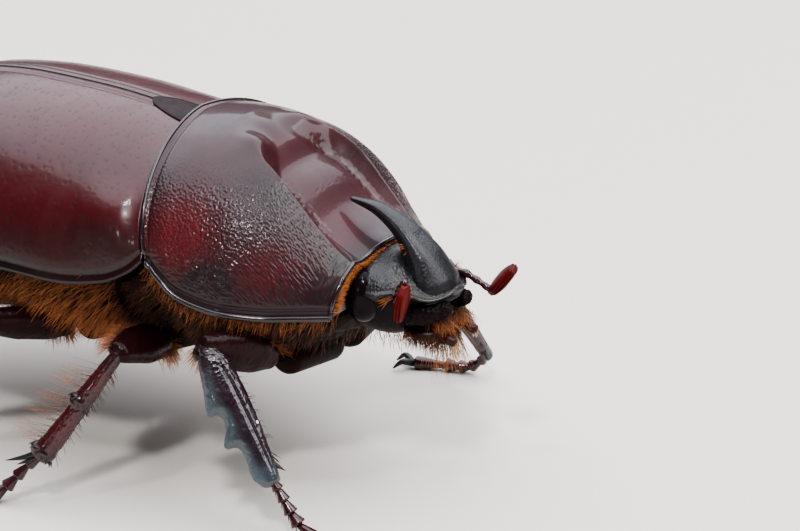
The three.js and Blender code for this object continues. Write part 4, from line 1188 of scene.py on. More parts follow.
for label, (stalk, club, club_painted_glow) in ANTENNAE.items():
    grid = limb_grid(stalk, STALK_JOINTS, STALK_JOINTS, ANY_SIDE, 70, 20)
    loft(f"antenna_{label}_fine", grid, LEG, "leg", [f"antenna_{label}"], glow=0.3)
    root, tip = np.array(club, float)
    axis = unit(tip - root)
    thin = unit(np.cross(axis, BROAD_WAY))
    leaves = []
    for gap in (-LEAF_GAP, 0.0, LEAF_GAP):
        end = tip - axis * LEAF_SHORTER * abs(gap) + thin * gap * 0.8
        path = [root + thin * gap * 0.5, (root + tip) / 2 + thin * gap, end]
        leaves.append(limb_grid(path, LEAF_HALF_WIDTHS, LEAF_HALF_DEPTHS, BROAD_WAY, 40, 28))
    loft(f"antenna_club_{label}_fine", leaves, CLUB, "club", [f"antenna_club_{label}"], glow=club_painted_glow)
print("leaves of each club:", len(leaves))

# %% [markdown]
# ## Legs
#
# Each leg has a hip, a stout thigh, a shin, a foot of five beads and two claws. The front shins are
# spades: flat, with three teeth on the outer edge that lean towards the foot. The other shins are walking
# props, with two slanting combs of short spines and long spurs at the end. An armature could pose one leg
# six times, but the beetle stands still, so each leg is simply a list of where its joints are.

# %% Leg sizes
# wide is the way the flat of the shin faces, foot is the end of each bead, and claw is the claws' tip
LEGS = {
    "fore_right": dict(coxa=[[-1.0, -9.9, 7.1], [-4.3, -9.6, 7.2]], knee=[-9.1, -7.75, 9.35],
                       shin=[-9.95, -12.35, 3.15], wide=[-0.66, 0.62, -0.41], digger=True,
                       foot=[[-9.95, -12.75, 2.65], [-9.95, -13.1, 2.1], [-9.95, -13.5, 1.5],
                             [-9.95, -13.95, 0.95], [-9.95, -15.3, 0.33]], claw=[-9.9, -16.1, 0.2]),
    "fore_left": dict(coxa=[[1.0, -9.9, 7.1], [4.3, -9.6, 7.2]], knee=[9.2, -9.6, 8.5],
                      shin=[12.95, -11.45, 1.6], wide=[0.75, 0.35, -0.3], digger=True,
                      foot=[[13.25, -10.9, 0.95], [13.3, -10.2, 0.45], [13.2, -9.5, 0.34],
                            [13.0, -8.7, 0.34], [12.4, -6.9, 0.34]], claw=[12.0, -5.9, 0.2]),
    "mid_right": dict(coxa=[[-1.1, -2.3, 6.7], [-4.0, -1.9, 6.9]], knee=[-10.2, -3.15, 8.4],
                      shin=[-12.9, 0.15, 2.85], wide=[-0.5, 0.7, 0.5], digger=False,
                      foot=[[-13.2, 0.95, 2.2], [-13.5, 1.5, 1.55], [-13.8, 2.0, 0.95], [-14.1, 2.6, 0.5],
                            [-14.6, 4.1, 0.34]], claw=[-14.9, 5.1, 0.2]),
    "mid_left": dict(coxa=[[1.1, -2.3, 6.7], [4.0, -1.9, 6.9]], knee=[10.2, -2.6, 8.4],
                     shin=[12.9, 1.0, 2.75], wide=[0.5, 0.7, 0.5], digger=False,
                     foot=[[13.2, 1.8, 2.1], [13.5, 2.35, 1.45], [13.8, 2.85, 0.85], [14.1, 3.45, 0.45],
                           [14.5, 4.95, 0.34]], claw=[14.8, 5.9, 0.2]),
    "hind_right": dict(coxa=[[-1.2, 2.6, 6.4], [-4.6, 3.1, 6.7]], knee=[-9.6, 6.9, 7.9],
                       shin=[-11.9, 12.8, 2.7], wide=[-0.75, 0.1, 0.6], digger=False,
                       foot=[[-12.1, 13.7, 1.9], [-12.2, 14.4, 1.25], [-12.3, 15.1, 0.75],
                             [-12.4, 15.9, 0.42], [-12.6, 17.6, 0.34]], claw=[-12.7, 18.7, 0.2]),
    "hind_left": dict(coxa=[[1.2, 2.6, 6.4], [4.6, 3.1, 6.7]], knee=[9.7, 6.3, 7.9],
                      shin=[12.1, 12.2, 2.7], wide=[0.75, 0.1, 0.6], digger=False,
                      foot=[[12.3, 13.1, 1.9], [12.5, 13.8, 1.25], [12.7, 14.5, 0.75], [12.9, 15.3, 0.42],
                            [13.3, 16.9, 0.34]], claw=[13.5, 18.0, 0.2]),
}
print("shins, mm:", {name: round(math.dist(leg["knee"], leg["shin"]), 1) for name, leg in LEGS.items()})

# %% [markdown]
# A shin is one loft whose outer edge follows its own track, so that the teeth grow out of the blade with
# no seam. Teeth joined on by a boolean would leave a crease at each root. Where the edge stands out
# furthest it also slides towards the foot, which makes the teeth lean.

# %% Shin forms
SPADE = {
    "outer": track([[0, 0.42], [0.1, 0.76], [0.26, 1.15], [0.34, 1.4], [0.375, 1.46], [0.405, 1.32],
                    [0.435, 1.0], [0.49, 0.84], [0.545, 0.94], [0.59, 1.28], [0.625, 1.42], [0.655, 1.28],
                    [0.69, 0.92], [0.74, 0.74], [0.80, 0.74], [0.88, 0.84], [0.94, 0.86], [1.0, 0.66]]),
    "inner": track([[0, 0.45], [0.12, 0.8], [0.35, 0.9], [0.6, 0.8], [0.85, 0.6], [1, 0.45]]),
    "depth": track([[0, 0.42], [0.12, 0.55], [0.5, 0.5], [1, 0.36]]),
    "lean": 0.4,
}
PROP = {
    "outer": track([[0, 0.36], [0.2, 0.45], [0.42, 0.56], [0.475, 0.72], [0.50, 0.7], [0.53, 0.5],
                    [0.7, 0.54], [0.9, 0.64], [0.97, 0.82], [1.0, 0.74]]),
    "inner": track([[0, 0.36], [0.25, 0.46], [0.6, 0.54], [0.9, 0.58], [1, 0.58]]),
    "depth": track([[0, 0.36], [0.3, 0.48], [0.5, 0.5], [0.8, 0.5], [1, 0.56]]),
    "lean": 0.35,
}
print("first two teeth, from the middle, mm:", [float(SPADE["outer"](t).round(2)) for t in (0.375, 0.625)])

# %% Shin grids
SHIN_START = 0.25  # mm, how far below the knee's middle the shin begins
SHIN_CAP, SHIN_TOP_CAP, SHIN_END_CAP = 7, 0.4, 0.35  # rings, and how far each end is rounded
SHIN_ROWS, SHIN_COLUMNS = 190, 96
TOOTH_FROM = 0.78  # half widths above this belong to a tooth


def shin_frame(leg):
    """Start, end and the three directions of a shin: along it, across its flat and through it."""
    knee, end = np.array(leg["knee"]), np.array(leg["shin"])
    along = unit(end - knee)
    wide = np.array(leg["wide"])
    wide = unit(wide - along * (along @ wide))
    return knee + along * SHIN_START, end, along, wide, np.cross(along, wide)


def shin_grid(leg):
    """Rings from the knee to the foot, with the share of the length and the turn's cosine."""
    start, end, along, wide, thin = shin_frame(leg)
    shape = SPADE if leg["digger"] else PROP
    cap = np.linspace(0, HALF_PI, SHIN_CAP + 1)[:-1]
    full, closed = np.ones(SHIN_ROWS), np.sin(cap) * 0.97 + 0.03
    t = np.concatenate([np.zeros(SHIN_CAP), np.linspace(0, 1, SHIN_ROWS), np.ones(SHIN_CAP)])[:, None]
    push = np.concatenate([-np.cos(cap) * SHIN_TOP_CAP, 0 * full, np.cos(cap[::-1]) * SHIN_END_CAP])[:, None]
    shrink = np.concatenate([closed, full, closed[::-1]])[:, None]
    turn = turns(SHIN_COLUMNS)[None]
    c, s = np.cos(turn), np.sin(turn)
    across = np.where(c > 0, shape["outer"](t), shape["inner"](t)) * c * shrink
    tooth = step(0.75, 1.45, across)
    through = shape["depth"](t) * s * shrink * (1 - 0.3 * tooth)
    if leg["digger"]:
        groove = bell(c, -0.42, 0.13) * step(0.08, 0.25, t) * step(1.0, 0.85, t)
        ridge = bell(c, -0.62, 0.12) * step(0.05, 0.2, t)
        through = through * (1 - 0.22 * groove + 0.10 * ridge)
    slide = push + shape["lean"] * np.maximum(across - TOOTH_FROM, 0)
    centre = start + (end - start) * t
    grid = centre[:, None] + along * slide[..., None] + wide * across[..., None] + thin * through[..., None]
    return grid, t, c


print("rings of a shin:", SHIN_ROWS + 2 * SHIN_CAP)

# %% [markdown]
# A real spade shin has a net of ridges near the knee and pricked lines further down. Its outer edge and
# tip are pale blue-grey, as a painted sky reflection. A walking shin has a ridge under each comb, and red
# glows through its two thinner stretches. Both come from pits and bells of the share of the length,
# called t, and of the turn round the shin, c.

# %% Shins
def above_floor(grid):
    """The grid, with whatever would dip below the floor laid flat on it."""
    grid[..., 2] = np.maximum(grid[..., 2], 0)
    return grid


def shin(name, leg):
    """One shin with its relief."""
    grid, t, c = shin_grid(leg)
    normal = normals_of(grid)
    down, around = lengths(grid, 0), lengths(grid, 1)
    if leg["digger"]:
        network = 1 - pits(down, around, (0.22, 0.15), 0.6, seed=91)
        rough = step(0.42, 0.12, t) * (1 - 0.8 * bell(c, 0.9, 0.3))
        lines = bell(c, -0.28, 0.06) + bell(c, -0.62, 0.06)
        pricked = pits(down, around, (0.2, 0.2), 0.4, seed=95) * (1 - rough) * (0.12 + lines)
        lift = 0.04 * (network - 0.5) * rough + 0.012 * swell(down, around, 0.3, 93) - 0.03 * pricked
        relief = np.clip((1 - network) * rough + pricked, 0, 1)
        # painted sky reflection: the outer edge and the tip get the pale blue-grey second colour
        glow = 0.85 * step(0.1, 0.8, c) * step(0.02, 0.3, t) + 0.5 * step(0.82, 0.96, t)
    else:
        comb = bell(t + 0.03 * c, 0.47, 0.02) + bell(t, 0.965, 0.02)
        pricked = pits(down, around, (0.45, 0.3), 0.3, seed=97)
        lift = 0.04 * comb + 0.018 * swell(down, around, 0.5, 99) - 0.03 * pricked
        relief = pricked
        glow = 0.75 * bell(t, 0.72, 0.2) + 0.55 * bell(t, 0.25, 0.16) - 0.5 * comb
        glow = np.clip(glow * np.ones_like(c), 0, 1)
    grid = above_floor(grid + normal * lift[..., None])
    material = SHEENED_SPADE_SHELL if leg["digger"] else LEG
    loft(f"tibia_{name}_fine", grid, material, "leg", [f"tibia_{name}"], glow=glow, relief=relief)


for name, leg in LEGS.items():
    shin(name, leg)
print("points on each shin:", (SHIN_ROWS + 2 * SHIN_CAP) * SHIN_COLUMNS)

# %% [markdown]
# Spurs are the thick movable thorns at the end of a shin, and the combs are rings of short spines. Each
# is a limb that narrows to a point. An array modifier would set the spines evenly, but they have to
# follow the shin's own outline, so a loop sets each one at its turn.

# %% Spurs and combs
SPIKE_TAPER = np.array([1, 0.85, 0.5, 0.08])
SPURS = ((0.9, 2.1), (0.35, 1.5))  # how far each one leans to the rear, and its length
COMBS = ((0.47, 9, 0.34), (0.97, 13, 0.4))  # place along the shin, number of spines, their length
TO_REAR = np.array([0.0, 1.0, -0.15])
HOOD_RADIUS = 0.16


def spike(root, direction, length, radius, bend=(0, 0, 0), rows=14, columns=10):
    """A curved thorn that ends in a point."""
    root, direction = np.array(root, float), unit(np.array(direction, float))
    middle = root + direction * length * 0.5 + np.array(bend) * length * 0.12
    tip = root + direction * length
    return limb_grid([root, middle, tip], radius * SPIKE_TAPER, radius * SPIKE_TAPER, ANY_SIDE, rows, columns)


def spurs_and_combs(name, leg):
    """The spurs at the shin's end, and the spines of its combs."""
    start, end, along, wide, thin = shin_frame(leg)
    thorns = []
    if leg["digger"]:
        thorns.append(spike(end - wide * 0.42 - along * 1.1, along - wide * 0.4, 1.1, 0.13, wide))
    else:
        for share, length in SPURS:
            heading = along * 0.6 + TO_REAR * share + wide * 0.2
            thorns.append(spike(end + wide * 0.3 * share, heading, length, 0.18, -TO_REAR))
        for place, count, reach in COMBS:
            for turn in turns(count):
                c, s = math.cos(turn), math.sin(turn)
                width = (PROP["outer"] if c > 0 else PROP["inner"])(place) * 0.9
                outward = wide * c + thin * s
                root = start + (end - start) * (place - 0.03 * c) + wide * c * width
                root = root + thin * s * PROP["depth"](place) * 0.9
                thorns.append(spike(root, outward * 0.8 + along, reach, 0.07, rows=6, columns=6))
    loft(f"spurs_{name}", thorns, BLACK, "leg")
    if leg["digger"]:  # a thick rim over the knee
        turn = np.linspace(-1.9, 1.9, 40)[:, None]
        hood = start + thin * 0.1 + wide * np.sin(turn) * 0.6 - along * (np.cos(turn) * 0.5 - 0.15)
        swept_bead(f"knee_hood_{name}", hood, HOOD_RADIUS, RIM, "leg")


for name, leg in LEGS.items():
    spurs_and_combs(name, leg)
print("spines in the combs of one walking leg:", sum(comb[1] for comb in COMBS))

# %% [markdown]
# A beetle's foot is five small joints in a row and ends in two hooked claws. The joints could be five
# pieces, but they touch, so one skin runs over them: each bead starts narrow, swells and closes again.

# %% Foot beads
BEADS, FIRST_BEAD, BEAD_GAIN = 5, 0.29, 0.13  # number, and mm: the first one's size and the last one's gain
BEAD_COLUMNS, BEAD_ROWS = 18, 16


def foot_grid(leg):
    """Five beads in one skin, from the shin to the claws."""
    joints = np.array([leg["shin"], *leg["foot"]])
    rows = []
    for i in range(BEADS):
        t = np.linspace(0, 1, BEAD_ROWS)
        size = FIRST_BEAD + BEAD_GAIN * i / (BEADS - 1)
        swelling = size * (0.5 + 0.72 * t ** 1.1) if i < BEADS - 1 else size * (0.42 + 0.62 * t)
        close = np.sqrt(np.clip(1 - (np.clip(t - 0.86, 0, 1) / 0.15) ** 2, 0.12, 1))
        radius = swelling * close
        before, after = joints[max(i - 1, 0)], joints[min(i + 2, BEADS)]
        heading = unit(joints[i + 1] - joints[i] + 0.15 * (after - before))
        up = unit(np.array([0, 0, 1]) - heading * heading[2])
        side = np.cross(heading, up)
        turn = turns(BEAD_COLUMNS)
        ring = side[None] * np.cos(turn)[:, None] + up[None] * np.sin(turn)[:, None]
        centre = joints[i] + (joints[i + 1] - joints[i]) * t[:, None]
        rows.append(centre[:, None] + radius[:, None, None] * ring[None])
    return above_floor(np.concatenate(rows))


print("a foot's beads:", BEADS)

# %% Claws and foot bristles
CLAW_TAPER = [0.22, 0.2, 0.14, 0.05]


def claws_grid(leg):
    """Two hooks that part from one root."""
    end, tip = np.array(leg["foot"][-1]), np.array(leg["claw"])
    along = unit(tip - end)
    across = unit(np.cross(along, [0, 0, 1]))
    root = end + along * 0.05
    hooks = []
    for side in (-1, 1):
        bow = root + (tip - root) * 0.5 + across * side * 0.5 + [0, 0, 0.3]
        path = [root, bow, tip + across * side * 0.62]
        hooks.append(above_floor(limb_grid(path, CLAW_TAPER, CLAW_TAPER, [0.05, 0.1, 1], 26, 14)))
    return hooks


def foot_bristles(name, leg):
    """Two thorns under the end of each of the first four beads."""
    joints = np.array([leg["shin"], *leg["foot"]])
    thorns = []
    for i in range(1, BEADS):
        heading = unit(joints[i] - joints[i - 1])
        side = unit(np.cross(heading, [0, 0, 1]))
        for lean in (-1, 1):
            root = joints[i] - heading * 0.12 + side * lean * 0.2 - [0, 0, 0.05]
            heading_out = heading + side * lean * 0.7 - [0, 0, 0.25]
            thorns.append(above_floor(spike(root, heading_out, 0.5, 0.045, rows=6, columns=6)))
    loft(f"foot_bristles_{name}", thorns, BLACK, "leg")


for name, leg in LEGS.items():
    loft(f"tarsus_{name}_fine", foot_grid(leg), LEG, "leg", [f"tarsus_{name}"], glow=0.25)
    loft(f"claws_{name}_fine", claws_grid(leg), BLACK, "black_horn", [f"claws_{name}"])
    foot_bristles(name, leg)
print("feet:", len(LEGS))

# %% [markdown]
# The hip is a short roller in the breast, and the thigh a stout club, since a digging beetle's strength
# lies there. Both are simple limbs, for little of them shows, but the thigh gets shallow pricks and soft
# swellings so that its shine isn't even. Its grid is kept for its hair.

# %% Hips and thighs
COXA_HALF_WIDTHS, COXA_HALF_DEPTHS = [1.15, 0.9775], [1.035, 0.805]
FEMUR_HALF_WIDTHS, FEMUR_HALF_DEPTHS = [0.75, 1.2, 1.22, 1.0, 0.66], [0.6, 0.78, 0.78, 0.68, 0.52]
femurs = {}
for name, leg in LEGS.items():
    coxa = limb_grid(leg["coxa"], COXA_HALF_WIDTHS, COXA_HALF_DEPTHS, [0, 1, 0.1], 30, 36)
    loft(f"coxa_{name}_fine", coxa, BELLY, "leg", [f"coxa_{name}"])
    root = np.array(leg["coxa"][1]) * 0.8 + np.array(leg["knee"]) * 0.2
    femur = limb_grid([root, leg["knee"]], FEMUR_HALF_WIDTHS, FEMUR_HALF_DEPTHS, leg["wide"], 70, 56)
    normal = normals_of(femur)
    down, around = lengths(femur, 0), lengths(femur, 1)
    pricked = pits(down, around, (0.45, 0.4), 0.25, seed=103)
    femur = femur + normal * (0.02 * swell(down, around, 0.7, 105) - 0.03 * pricked)[..., None]
    femurs[name] = {"grid": femur, "normal": normal}
    # the thighs take the darker, painted-shade shell
    loft(f"femur_{name}_fine", femur, SHADED_THIGH, "leg", [f"femur_{name}"], glow=0.35, relief=pricked)
print("legs:", list(LEGS))

# %% [markdown]
# ## The underside
#
# The breast plates and the belly close the body from below. The belly is a row of overlapping plates, so
# each one swells towards its rear edge and drops to the next. Separate plates would show gaps, and they
# mostly lie under hair, so the belly is one loft and the steps are part of its relief. A loft takes a
# section, which gives the width and the three heights of each ring.

# %% Underside forms
TRUNK_COLUMNS = 150
CASE_CLEARANCE = 0.27  # mm under the inner faces of the wing cases


def trunk_grid(ends, section, rows=90):
    """Rings from front to rear: an arch above the widest line and the belly's curve below it."""
    y = np.linspace(*ends, rows)[:, None]
    half_width, margin_z, top_z, low_z = section(y)
    turn = turns(TRUNK_COLUMNS)[None]
    c, s = np.cos(turn), np.sin(turn)
    height = np.where(s > 0, top_z - margin_z, margin_z - low_z) * s
    return np.stack([half_width * c, y * np.ones_like(c), margin_z + height], -1)


def same_all_along(*measures):
    """A section whose half width and three heights stay the same."""
    return lambda y: [measure + 0 * y for measure in measures]


def under_cases(low):
    """A section that fills the space under the wing cases down to the track called low."""
    room = CASE_THICKNESS + CASE_CLEARANCE
    return lambda y: (np.maximum(ELYTRA["half_width"](y) - room, 0.8), ELYTRA["margin_z"](y),
                      ELYTRA["crown_z"](y) - room, low(y))


PROSTERNUM_LOW = track([[-12.6, 8.7], [-11, 7.7], [-8.5, 7.0], [-5, 6.8], [-3.1, 7.2]])
METASTERNUM_LOW = track([[-1.2, 6.6], [1, 6.1], [4.1, 6.2]])
ABDOMEN_FRONT, ABDOMEN_REAR = 4.22, 19.3
ABDOMEN_LOW = track([[ABDOMEN_FRONT, 6.2], [9, 6.0], [13, 6.4], [16, 7.1], [18.2, 8.2],
                     [ABDOMEN_REAR, 9.0]])
PLATE_LENGTH, PLATE_STEP = 2.5, 0.16
trunk = {
    "prosternum": trunk_grid((-12.6, -3.1), lambda y: (
        PRONOTUM["half_width"](y) - 0.8, PRONOTUM["margin_z"](y) - 0.4, PRONOTUM["margin_z"](y) - 0.35,
        PROSTERNUM_LOW(y))),
    "mesosternum": trunk_grid((-2.98, -1.32), same_all_along(6.9, 11.2, 11.9, 6.9), 24),
    "metasternum": trunk_grid((-1.2, 4.1), under_cases(METASTERNUM_LOW), 50),
    "abdomen": trunk_grid((ABDOMEN_FRONT, ABDOMEN_REAR), under_cases(ABDOMEN_LOW), 260),
}
print("underside:", list(trunk))

# %% [markdown]
# All the plates get shallow pits and a slight unevenness in one loop. Their grids are kept, because the
# hair grows on them later.

# %% Underside relief
def along_plate(grid):
    """How far each point lies along its own belly plate, from 0 to 1."""
    plate = (grid[..., 1] - ABDOMEN_FRONT) / PLATE_LENGTH
    return plate - np.floor(plate)


underside = {}
for name, grid in trunk.items():
    normal = normals_of(grid)
    along, around = lengths(grid, 0), lengths(grid, 1)
    relief = pits(along, around, (0.4, 0.35), 0.4, seed=111)
    lift = -0.03 * relief + 0.02 * swell(along, around, 0.8, 113)
    if name == "abdomen":
        lift = lift + PLATE_STEP * along_plate(grid) ** 2 * step(11.5, 10.5, grid[..., 2])
    grid = grid + normal * lift[..., None]
    underside[name] = {"grid": grid, "normal": normal}
    loft(f"{name}_fine", grid, BELLY, "belly", [name], relief=relief)
print("belly plates:", math.ceil((ABDOMEN_REAR - ABDOMEN_FRONT) / PLATE_LENGTH))

# %% [markdown]
# Two small plates show from above. The pygidium closes the tail below the wing cases: it is a flattened
# ball, tipped back. The scutellum is the dark tongue between the shoulders of the wing cases, a thin slab
# with a rounded point.

# %% Tail plate
TAIL_CENTRE, TAIL_RADII, TAIL_TIP = np.array([0, 18.35, 8.7]), (3.6, 1.75, 2.0), -0.35  # mm, mm, radians


def turned_about(grid, centre, angle):
    """The grid turned about a line along X through centre."""
    c, s = math.cos(angle), math.sin(angle)
    return (grid - centre) @ np.array([[1, 0, 0], [0, c, s], [0, -s, c]]) + centre


grid = turned_about(ball_grid(TAIL_CENTRE, TAIL_RADII, 70, 90), TAIL_CENTRE, TAIL_TIP)
normal = normals_of(grid)
pygidium = {"grid": grid, "normal": normal}
relief = pits(lengths(grid, 0), lengths(grid, 1), (0.25, 0.3), 0.42, seed=117)
grid = grid - normal * (0.03 * relief)[..., None]
loft("pygidium_fine", grid, WING_CASE, "wing_case", ["pygidium"], relief=relief)
print("tail plate points:", grid.shape[0] * grid.shape[1])

# %% Scutellum
TONGUE_FRONT, TONGUE_TIP, TONGUE_HALF_WIDTH = -1.25, 1.5, 1.25
TONGUE_ABOVE, TONGUE_BELOW = 0.12, 0.5  # mm from its middle
y = np.linspace(TONGUE_FRONT, TONGUE_TIP, 40)[:, None]
share = (y - TONGUE_FRONT) / (TONGUE_TIP - TONGUE_FRONT)
half_width = TONGUE_HALF_WIDTH * np.sqrt(np.clip(1 - share ** 1.7, 0.0004, 1))
turn = turns(48)[None]
c, s = np.cos(turn), np.sin(turn)
thickness = np.where(s > 0, TONGUE_ABOVE, TONGUE_BELOW) * np.sign(s) * np.abs(s) ** 0.6
tongue = np.stack([half_width * c, y * np.ones_like(c), ELYTRA["crown_z"](y) - 0.02 + thickness], -1)
loft("scutellum_fine", tongue, JAW, "black_horn", ["scutellum"])
print("scutellum, mm:", TONGUE_TIP - TONGUE_FRONT, "by", 2 * TONGUE_HALF_WIDTH)

# %% [markdown]
# ## Hair
#
# Rust-coloured hair grows in a dense band at the collar, in fringes under the shield and the wing cases,
# over the breast, round the mouth and on the legs. Particle hair and hair curves would be lighter, but
# they can't be exported. So each hair is a thin three-sided spike of real mesh, bent once.
# All the hairs of a coat are joined in one mesh, and each carries a small patch of a map at its root's
# own place. One seed for all the random numbers gives the same coat each time.

# %% Strands
random = np.random.default_rng(20)
PATCH = 0.003
SHARES = np.array([0, 0.33, 0.68])  # where the three rings of a hair lie along it
SIDES_OF_HAIR = 3
THINNING = 0.62
CLEAR_OF_FLOOR = 0.02  # mm
hair_count = {}


def strands(name, roots, directions, lengths_mm, radius, material, places, droop=(0, 0, -0.25), slot="belly"):
    """A joined mesh of hairs. droop bends each hair by that much of its length at the tip."""
    count = len(roots)
    directions = unit(directions)
    lengths_mm = np.broadcast_to(lengths_mm, count)[:, None]
    side = unit(np.cross(directions, [0.31, 0.17, 0.93]))
    up = np.cross(directions, side)
    droop = np.broadcast_to(droop, (count, 3))
    rings = []
    for share in SHARES:
        middle = roots + directions * lengths_mm * share + droop * lengths_mm * share ** 2
        for turn in turns(SIDES_OF_HAIR):
            around = side * math.cos(turn) + up * math.sin(turn)
            rings.append(middle + radius * (1 - THINNING * share) * around)
    tips = roots + directions * lengths_mm + droop * lengths_mm
    points = np.stack([*rings, tips], 1)
    points[..., 2] = np.maximum(points[..., 2], CLEAR_OF_FLOOR)
    each = points.shape[1]
    a = np.arange(each - 1)
    b = a - a % SIDES_OF_HAIR + (a + 1) % SIDES_OF_HAIR
    quads = np.stack([a, b, b + SIDES_OF_HAIR, a + SIDES_OF_HAIR], 1)[:-SIDES_OF_HAIR]
    ends = np.stack([a, b, 0 * a + each - 1], 1)[-SIDES_OF_HAIR:]
    base = (np.arange(count) * each)[:, None, None]
    faces = (base + quads).reshape(-1, 4).tolist() + (base + ends).reshape(-1, 3).tolist()
    along = np.append(np.repeat(SHARES, SIDES_OF_HAIR), 1.0) * random.uniform(0.3, 1, (count, 1))
    piece = mesh_piece(name, points.reshape(-1, 3), faces, material, slot, numbers={"along": along})
    spot = [[k / 2, share] for share in SHARES for k in range(SIDES_OF_HAIR)] + [[0.5, 1.0]]
    spot = np.array(spot) * PATCH
    corner = (places[:, None] + spot[None]).reshape(-1, 2)
    layer = piece.data.uv_layers.new(name="OFBake")
    vertex = np.zeros(len(piece.data.loops), np.int32)
    piece.data.loops.foreach_get("vertex_index", vertex)
    layer.data.foreach_set("uv", corner[vertex].astype(np.float32).ravel())
    hair_count[name] = count


print("points on each hair:", SIDES_OF_HAIR * len(SHARES) + 1)

# %% [markdown]
# Roots are picked at random from a surface's own grid, in proportion to area and to a weight between 0
# and 1, so hair can be thick in one place and fade out in another. Weight painting does the same by hand.
# Each root is then moved a random way into its square, or the hairs would stand in rows.

# %% Roots
COAT_SPREAD = 0.22


def roots_on(surface, count, weight):
    """Random roots on a grid: points, normals and places on the unwrapped grid."""
    grid, normal = surface["grid"], surface["normal"]
    rows, columns = grid.shape[:2]
    row_gap, column_gap = (np.linalg.norm(np.gradient(grid, axis=axis), axis=-1) for axis in (0, 1))
    area = row_gap * column_gap
    chance = (area * np.maximum(weight, 0)).ravel()
    chosen = random.choice(rows * columns, count, p=chance / chance.sum())
    row, column = np.minimum(chosen // columns, rows - 2), np.minimum(chosen % columns, columns - 2)
    f, g = random.random((2, count, 1))

    def mix(field):
        near = field[row, column] * (1 - g) + field[row, column + 1] * g
        far = field[row + 1, column] * (1 - g) + field[row + 1, column + 1] * g
        return near * (1 - f) + far * f

    places = np.stack([(row + f[:, 0]) / rows, (column + g[:, 0]) / columns], -1)
    return mix(grid), unit(mix(normal)), 0.01 + 0.97 * places


def spread(count, amount):
    """Random sideways turns, so that hairs don't lie parallel."""
    return random.normal(0, amount, (count, 3))


def coat(name, surface, count, weight, reach, lie, lift=0.55, radius=0.018, droop=(0, 0.1, -0.3),
         material=RUST_HAIR, slot="belly"):
    """Hair over a surface: reach is its (shortest, longest) length, lie the way it lies, and lift how far
    it stands off."""
    roots, normal, places = roots_on(surface, count, weight)
    directions = normal * lift + np.array(lie) + spread(count, COAT_SPREAD)
    strands(name, roots, directions, random.uniform(*reach, count), radius, material, places, droop, slot)


print("a coat's directions vary by about", round(math.degrees(COAT_SPREAD)), "degrees")

# %% [markdown]
# The collar is a dense brush of short hair that fills the gap between shield and head, and keeps sand out
# of it. Its roots lie on the shield's first arch, just inside the edge. The fringe hangs from under the
# side margins, where single hairs show against the light, so it is sparser and longer.

# %% Collar and shield fringe
COLLAR_HAIRS, FRINGE_HAIRS = 2300, 600
COLLAR_MIDDLE = np.array([0, 0, 11.3])
angle = random.uniform(-1.5, 1.5, COLLAR_HAIRS)
ring = dome(PRONOTUM, np.full(COLLAR_HAIRS, 0.004), angle)
ring[:, 2] -= hollow_depth(ring[:, 0], ring[:, 1])
inward = unit(COLLAR_MIDDLE - ring * [1, 0, 1])
roots = ring + inward * random.uniform(0.05, 0.42, (COLLAR_HAIRS, 1)) + [0, 0.12, 0]
directions = np.array([0, -1.0, 0]) + inward * 0.5 + spread(COLLAR_HAIRS, 0.12)
places = np.stack([0.5 + angle / 3.4, random.uniform(0.02, 0.06, COLLAR_HAIRS)], -1)
strands("hair_collar", roots, directions, random.uniform(0.42, 0.62, COLLAR_HAIRS), 0.03, RUST_HAIR, places,
        droop=(0, 0, 0), slot="pronotum")

for side, label in SIDES:
    t = random.random(FRINGE_HAIRS)
    margin = dome(PRONOTUM, t, np.full(FRINGE_HAIRS, side * HALF_PI))
    depth = random.uniform(0.05, 1.3, (FRINGE_HAIRS, 1))
    roots = margin - np.array([side, 0, 0]) * depth + [0, 0, 0.05]
    directions = np.array([side * 0.5, 0.3, -1]) + spread(FRINGE_HAIRS, 0.3)
    places = np.stack([0.02 + 0.95 * t, 0.5 + side * (0.45 - 0.05 * depth[:, 0])], -1)
    strands(f"hair_shield_{label}", roots, directions, random.uniform(0.5, 1.2, FRINGE_HAIRS), 0.014,
            RUST_HAIR, places, slot="pronotum")
print("collar and fringe hairs:", sum(hair_count.values()))

# %% [markdown]
# The breast is shaggy and rust-coloured. At the front, under the shield, its hair is a darker brown, as
# painted shade. On the belly each plate carries a row of hair at its rear edge, and a longer fringe
# hangs at the flanks under the wing cases. All of it lies to the rear, as on a real beetle.

# %% Breast and belly hair
# the breast hair at the front, under the shield, is the darker painted-shade hair
for name, count, reach, material in (("prosternum", 2600, (0.4, 0.9), SHADED_HAIR),
                                     ("mesosternum", 1500, (0.5, 1.1), SHADED_HAIR),
                                     ("metasternum", 4200, (0.6, 1.4), RUST_HAIR)):
    surface = underside[name]
    below = step(0.45, -0.1, surface["normal"][..., 2]) * step(-12.7, -12.0, surface["grid"][..., 1])
    coat(f"hair_{name}", surface, count, below, reach, (0, 0.6, -0.15), radius=0.021, material=material)
belly = underside["abdomen"]
plate_edge = step(0.6, 0.95, along_plate(belly["grid"])) + 0.08
lower = step(0.2, -0.3, belly["normal"][..., 2])
flank = bell(belly["grid"][..., 2], 9.9, 0.8)
under_tail = step(0.0, -0.5, pygidium["normal"][..., 2])
coat("hair_abdomen", belly, 3400, plate_edge * lower, (0.4, 0.9), (0, 0.9, -0.1), lift=0.35, radius=0.014)
coat("hair_flanks", belly, 3200, flank, (0.5, 1.1), (0, 0.5, -0.4), radius=0.016)
coat("hair_tail", pygidium, 500, under_tail, (0.4, 0.8), (0, 0.6, -0.4))
print("hairs so far:", sum(hair_count.values()))

# %% [markdown]
# Long hair hangs from the lower lip in front of the jaws, and each palp ends in a pale tuft. A small
# orange tuft stands out under the ledge in front of the eye, and lint has caught behind the horn. These
# are loose brushes: all hairs of one grow from a small patch in about one direction.

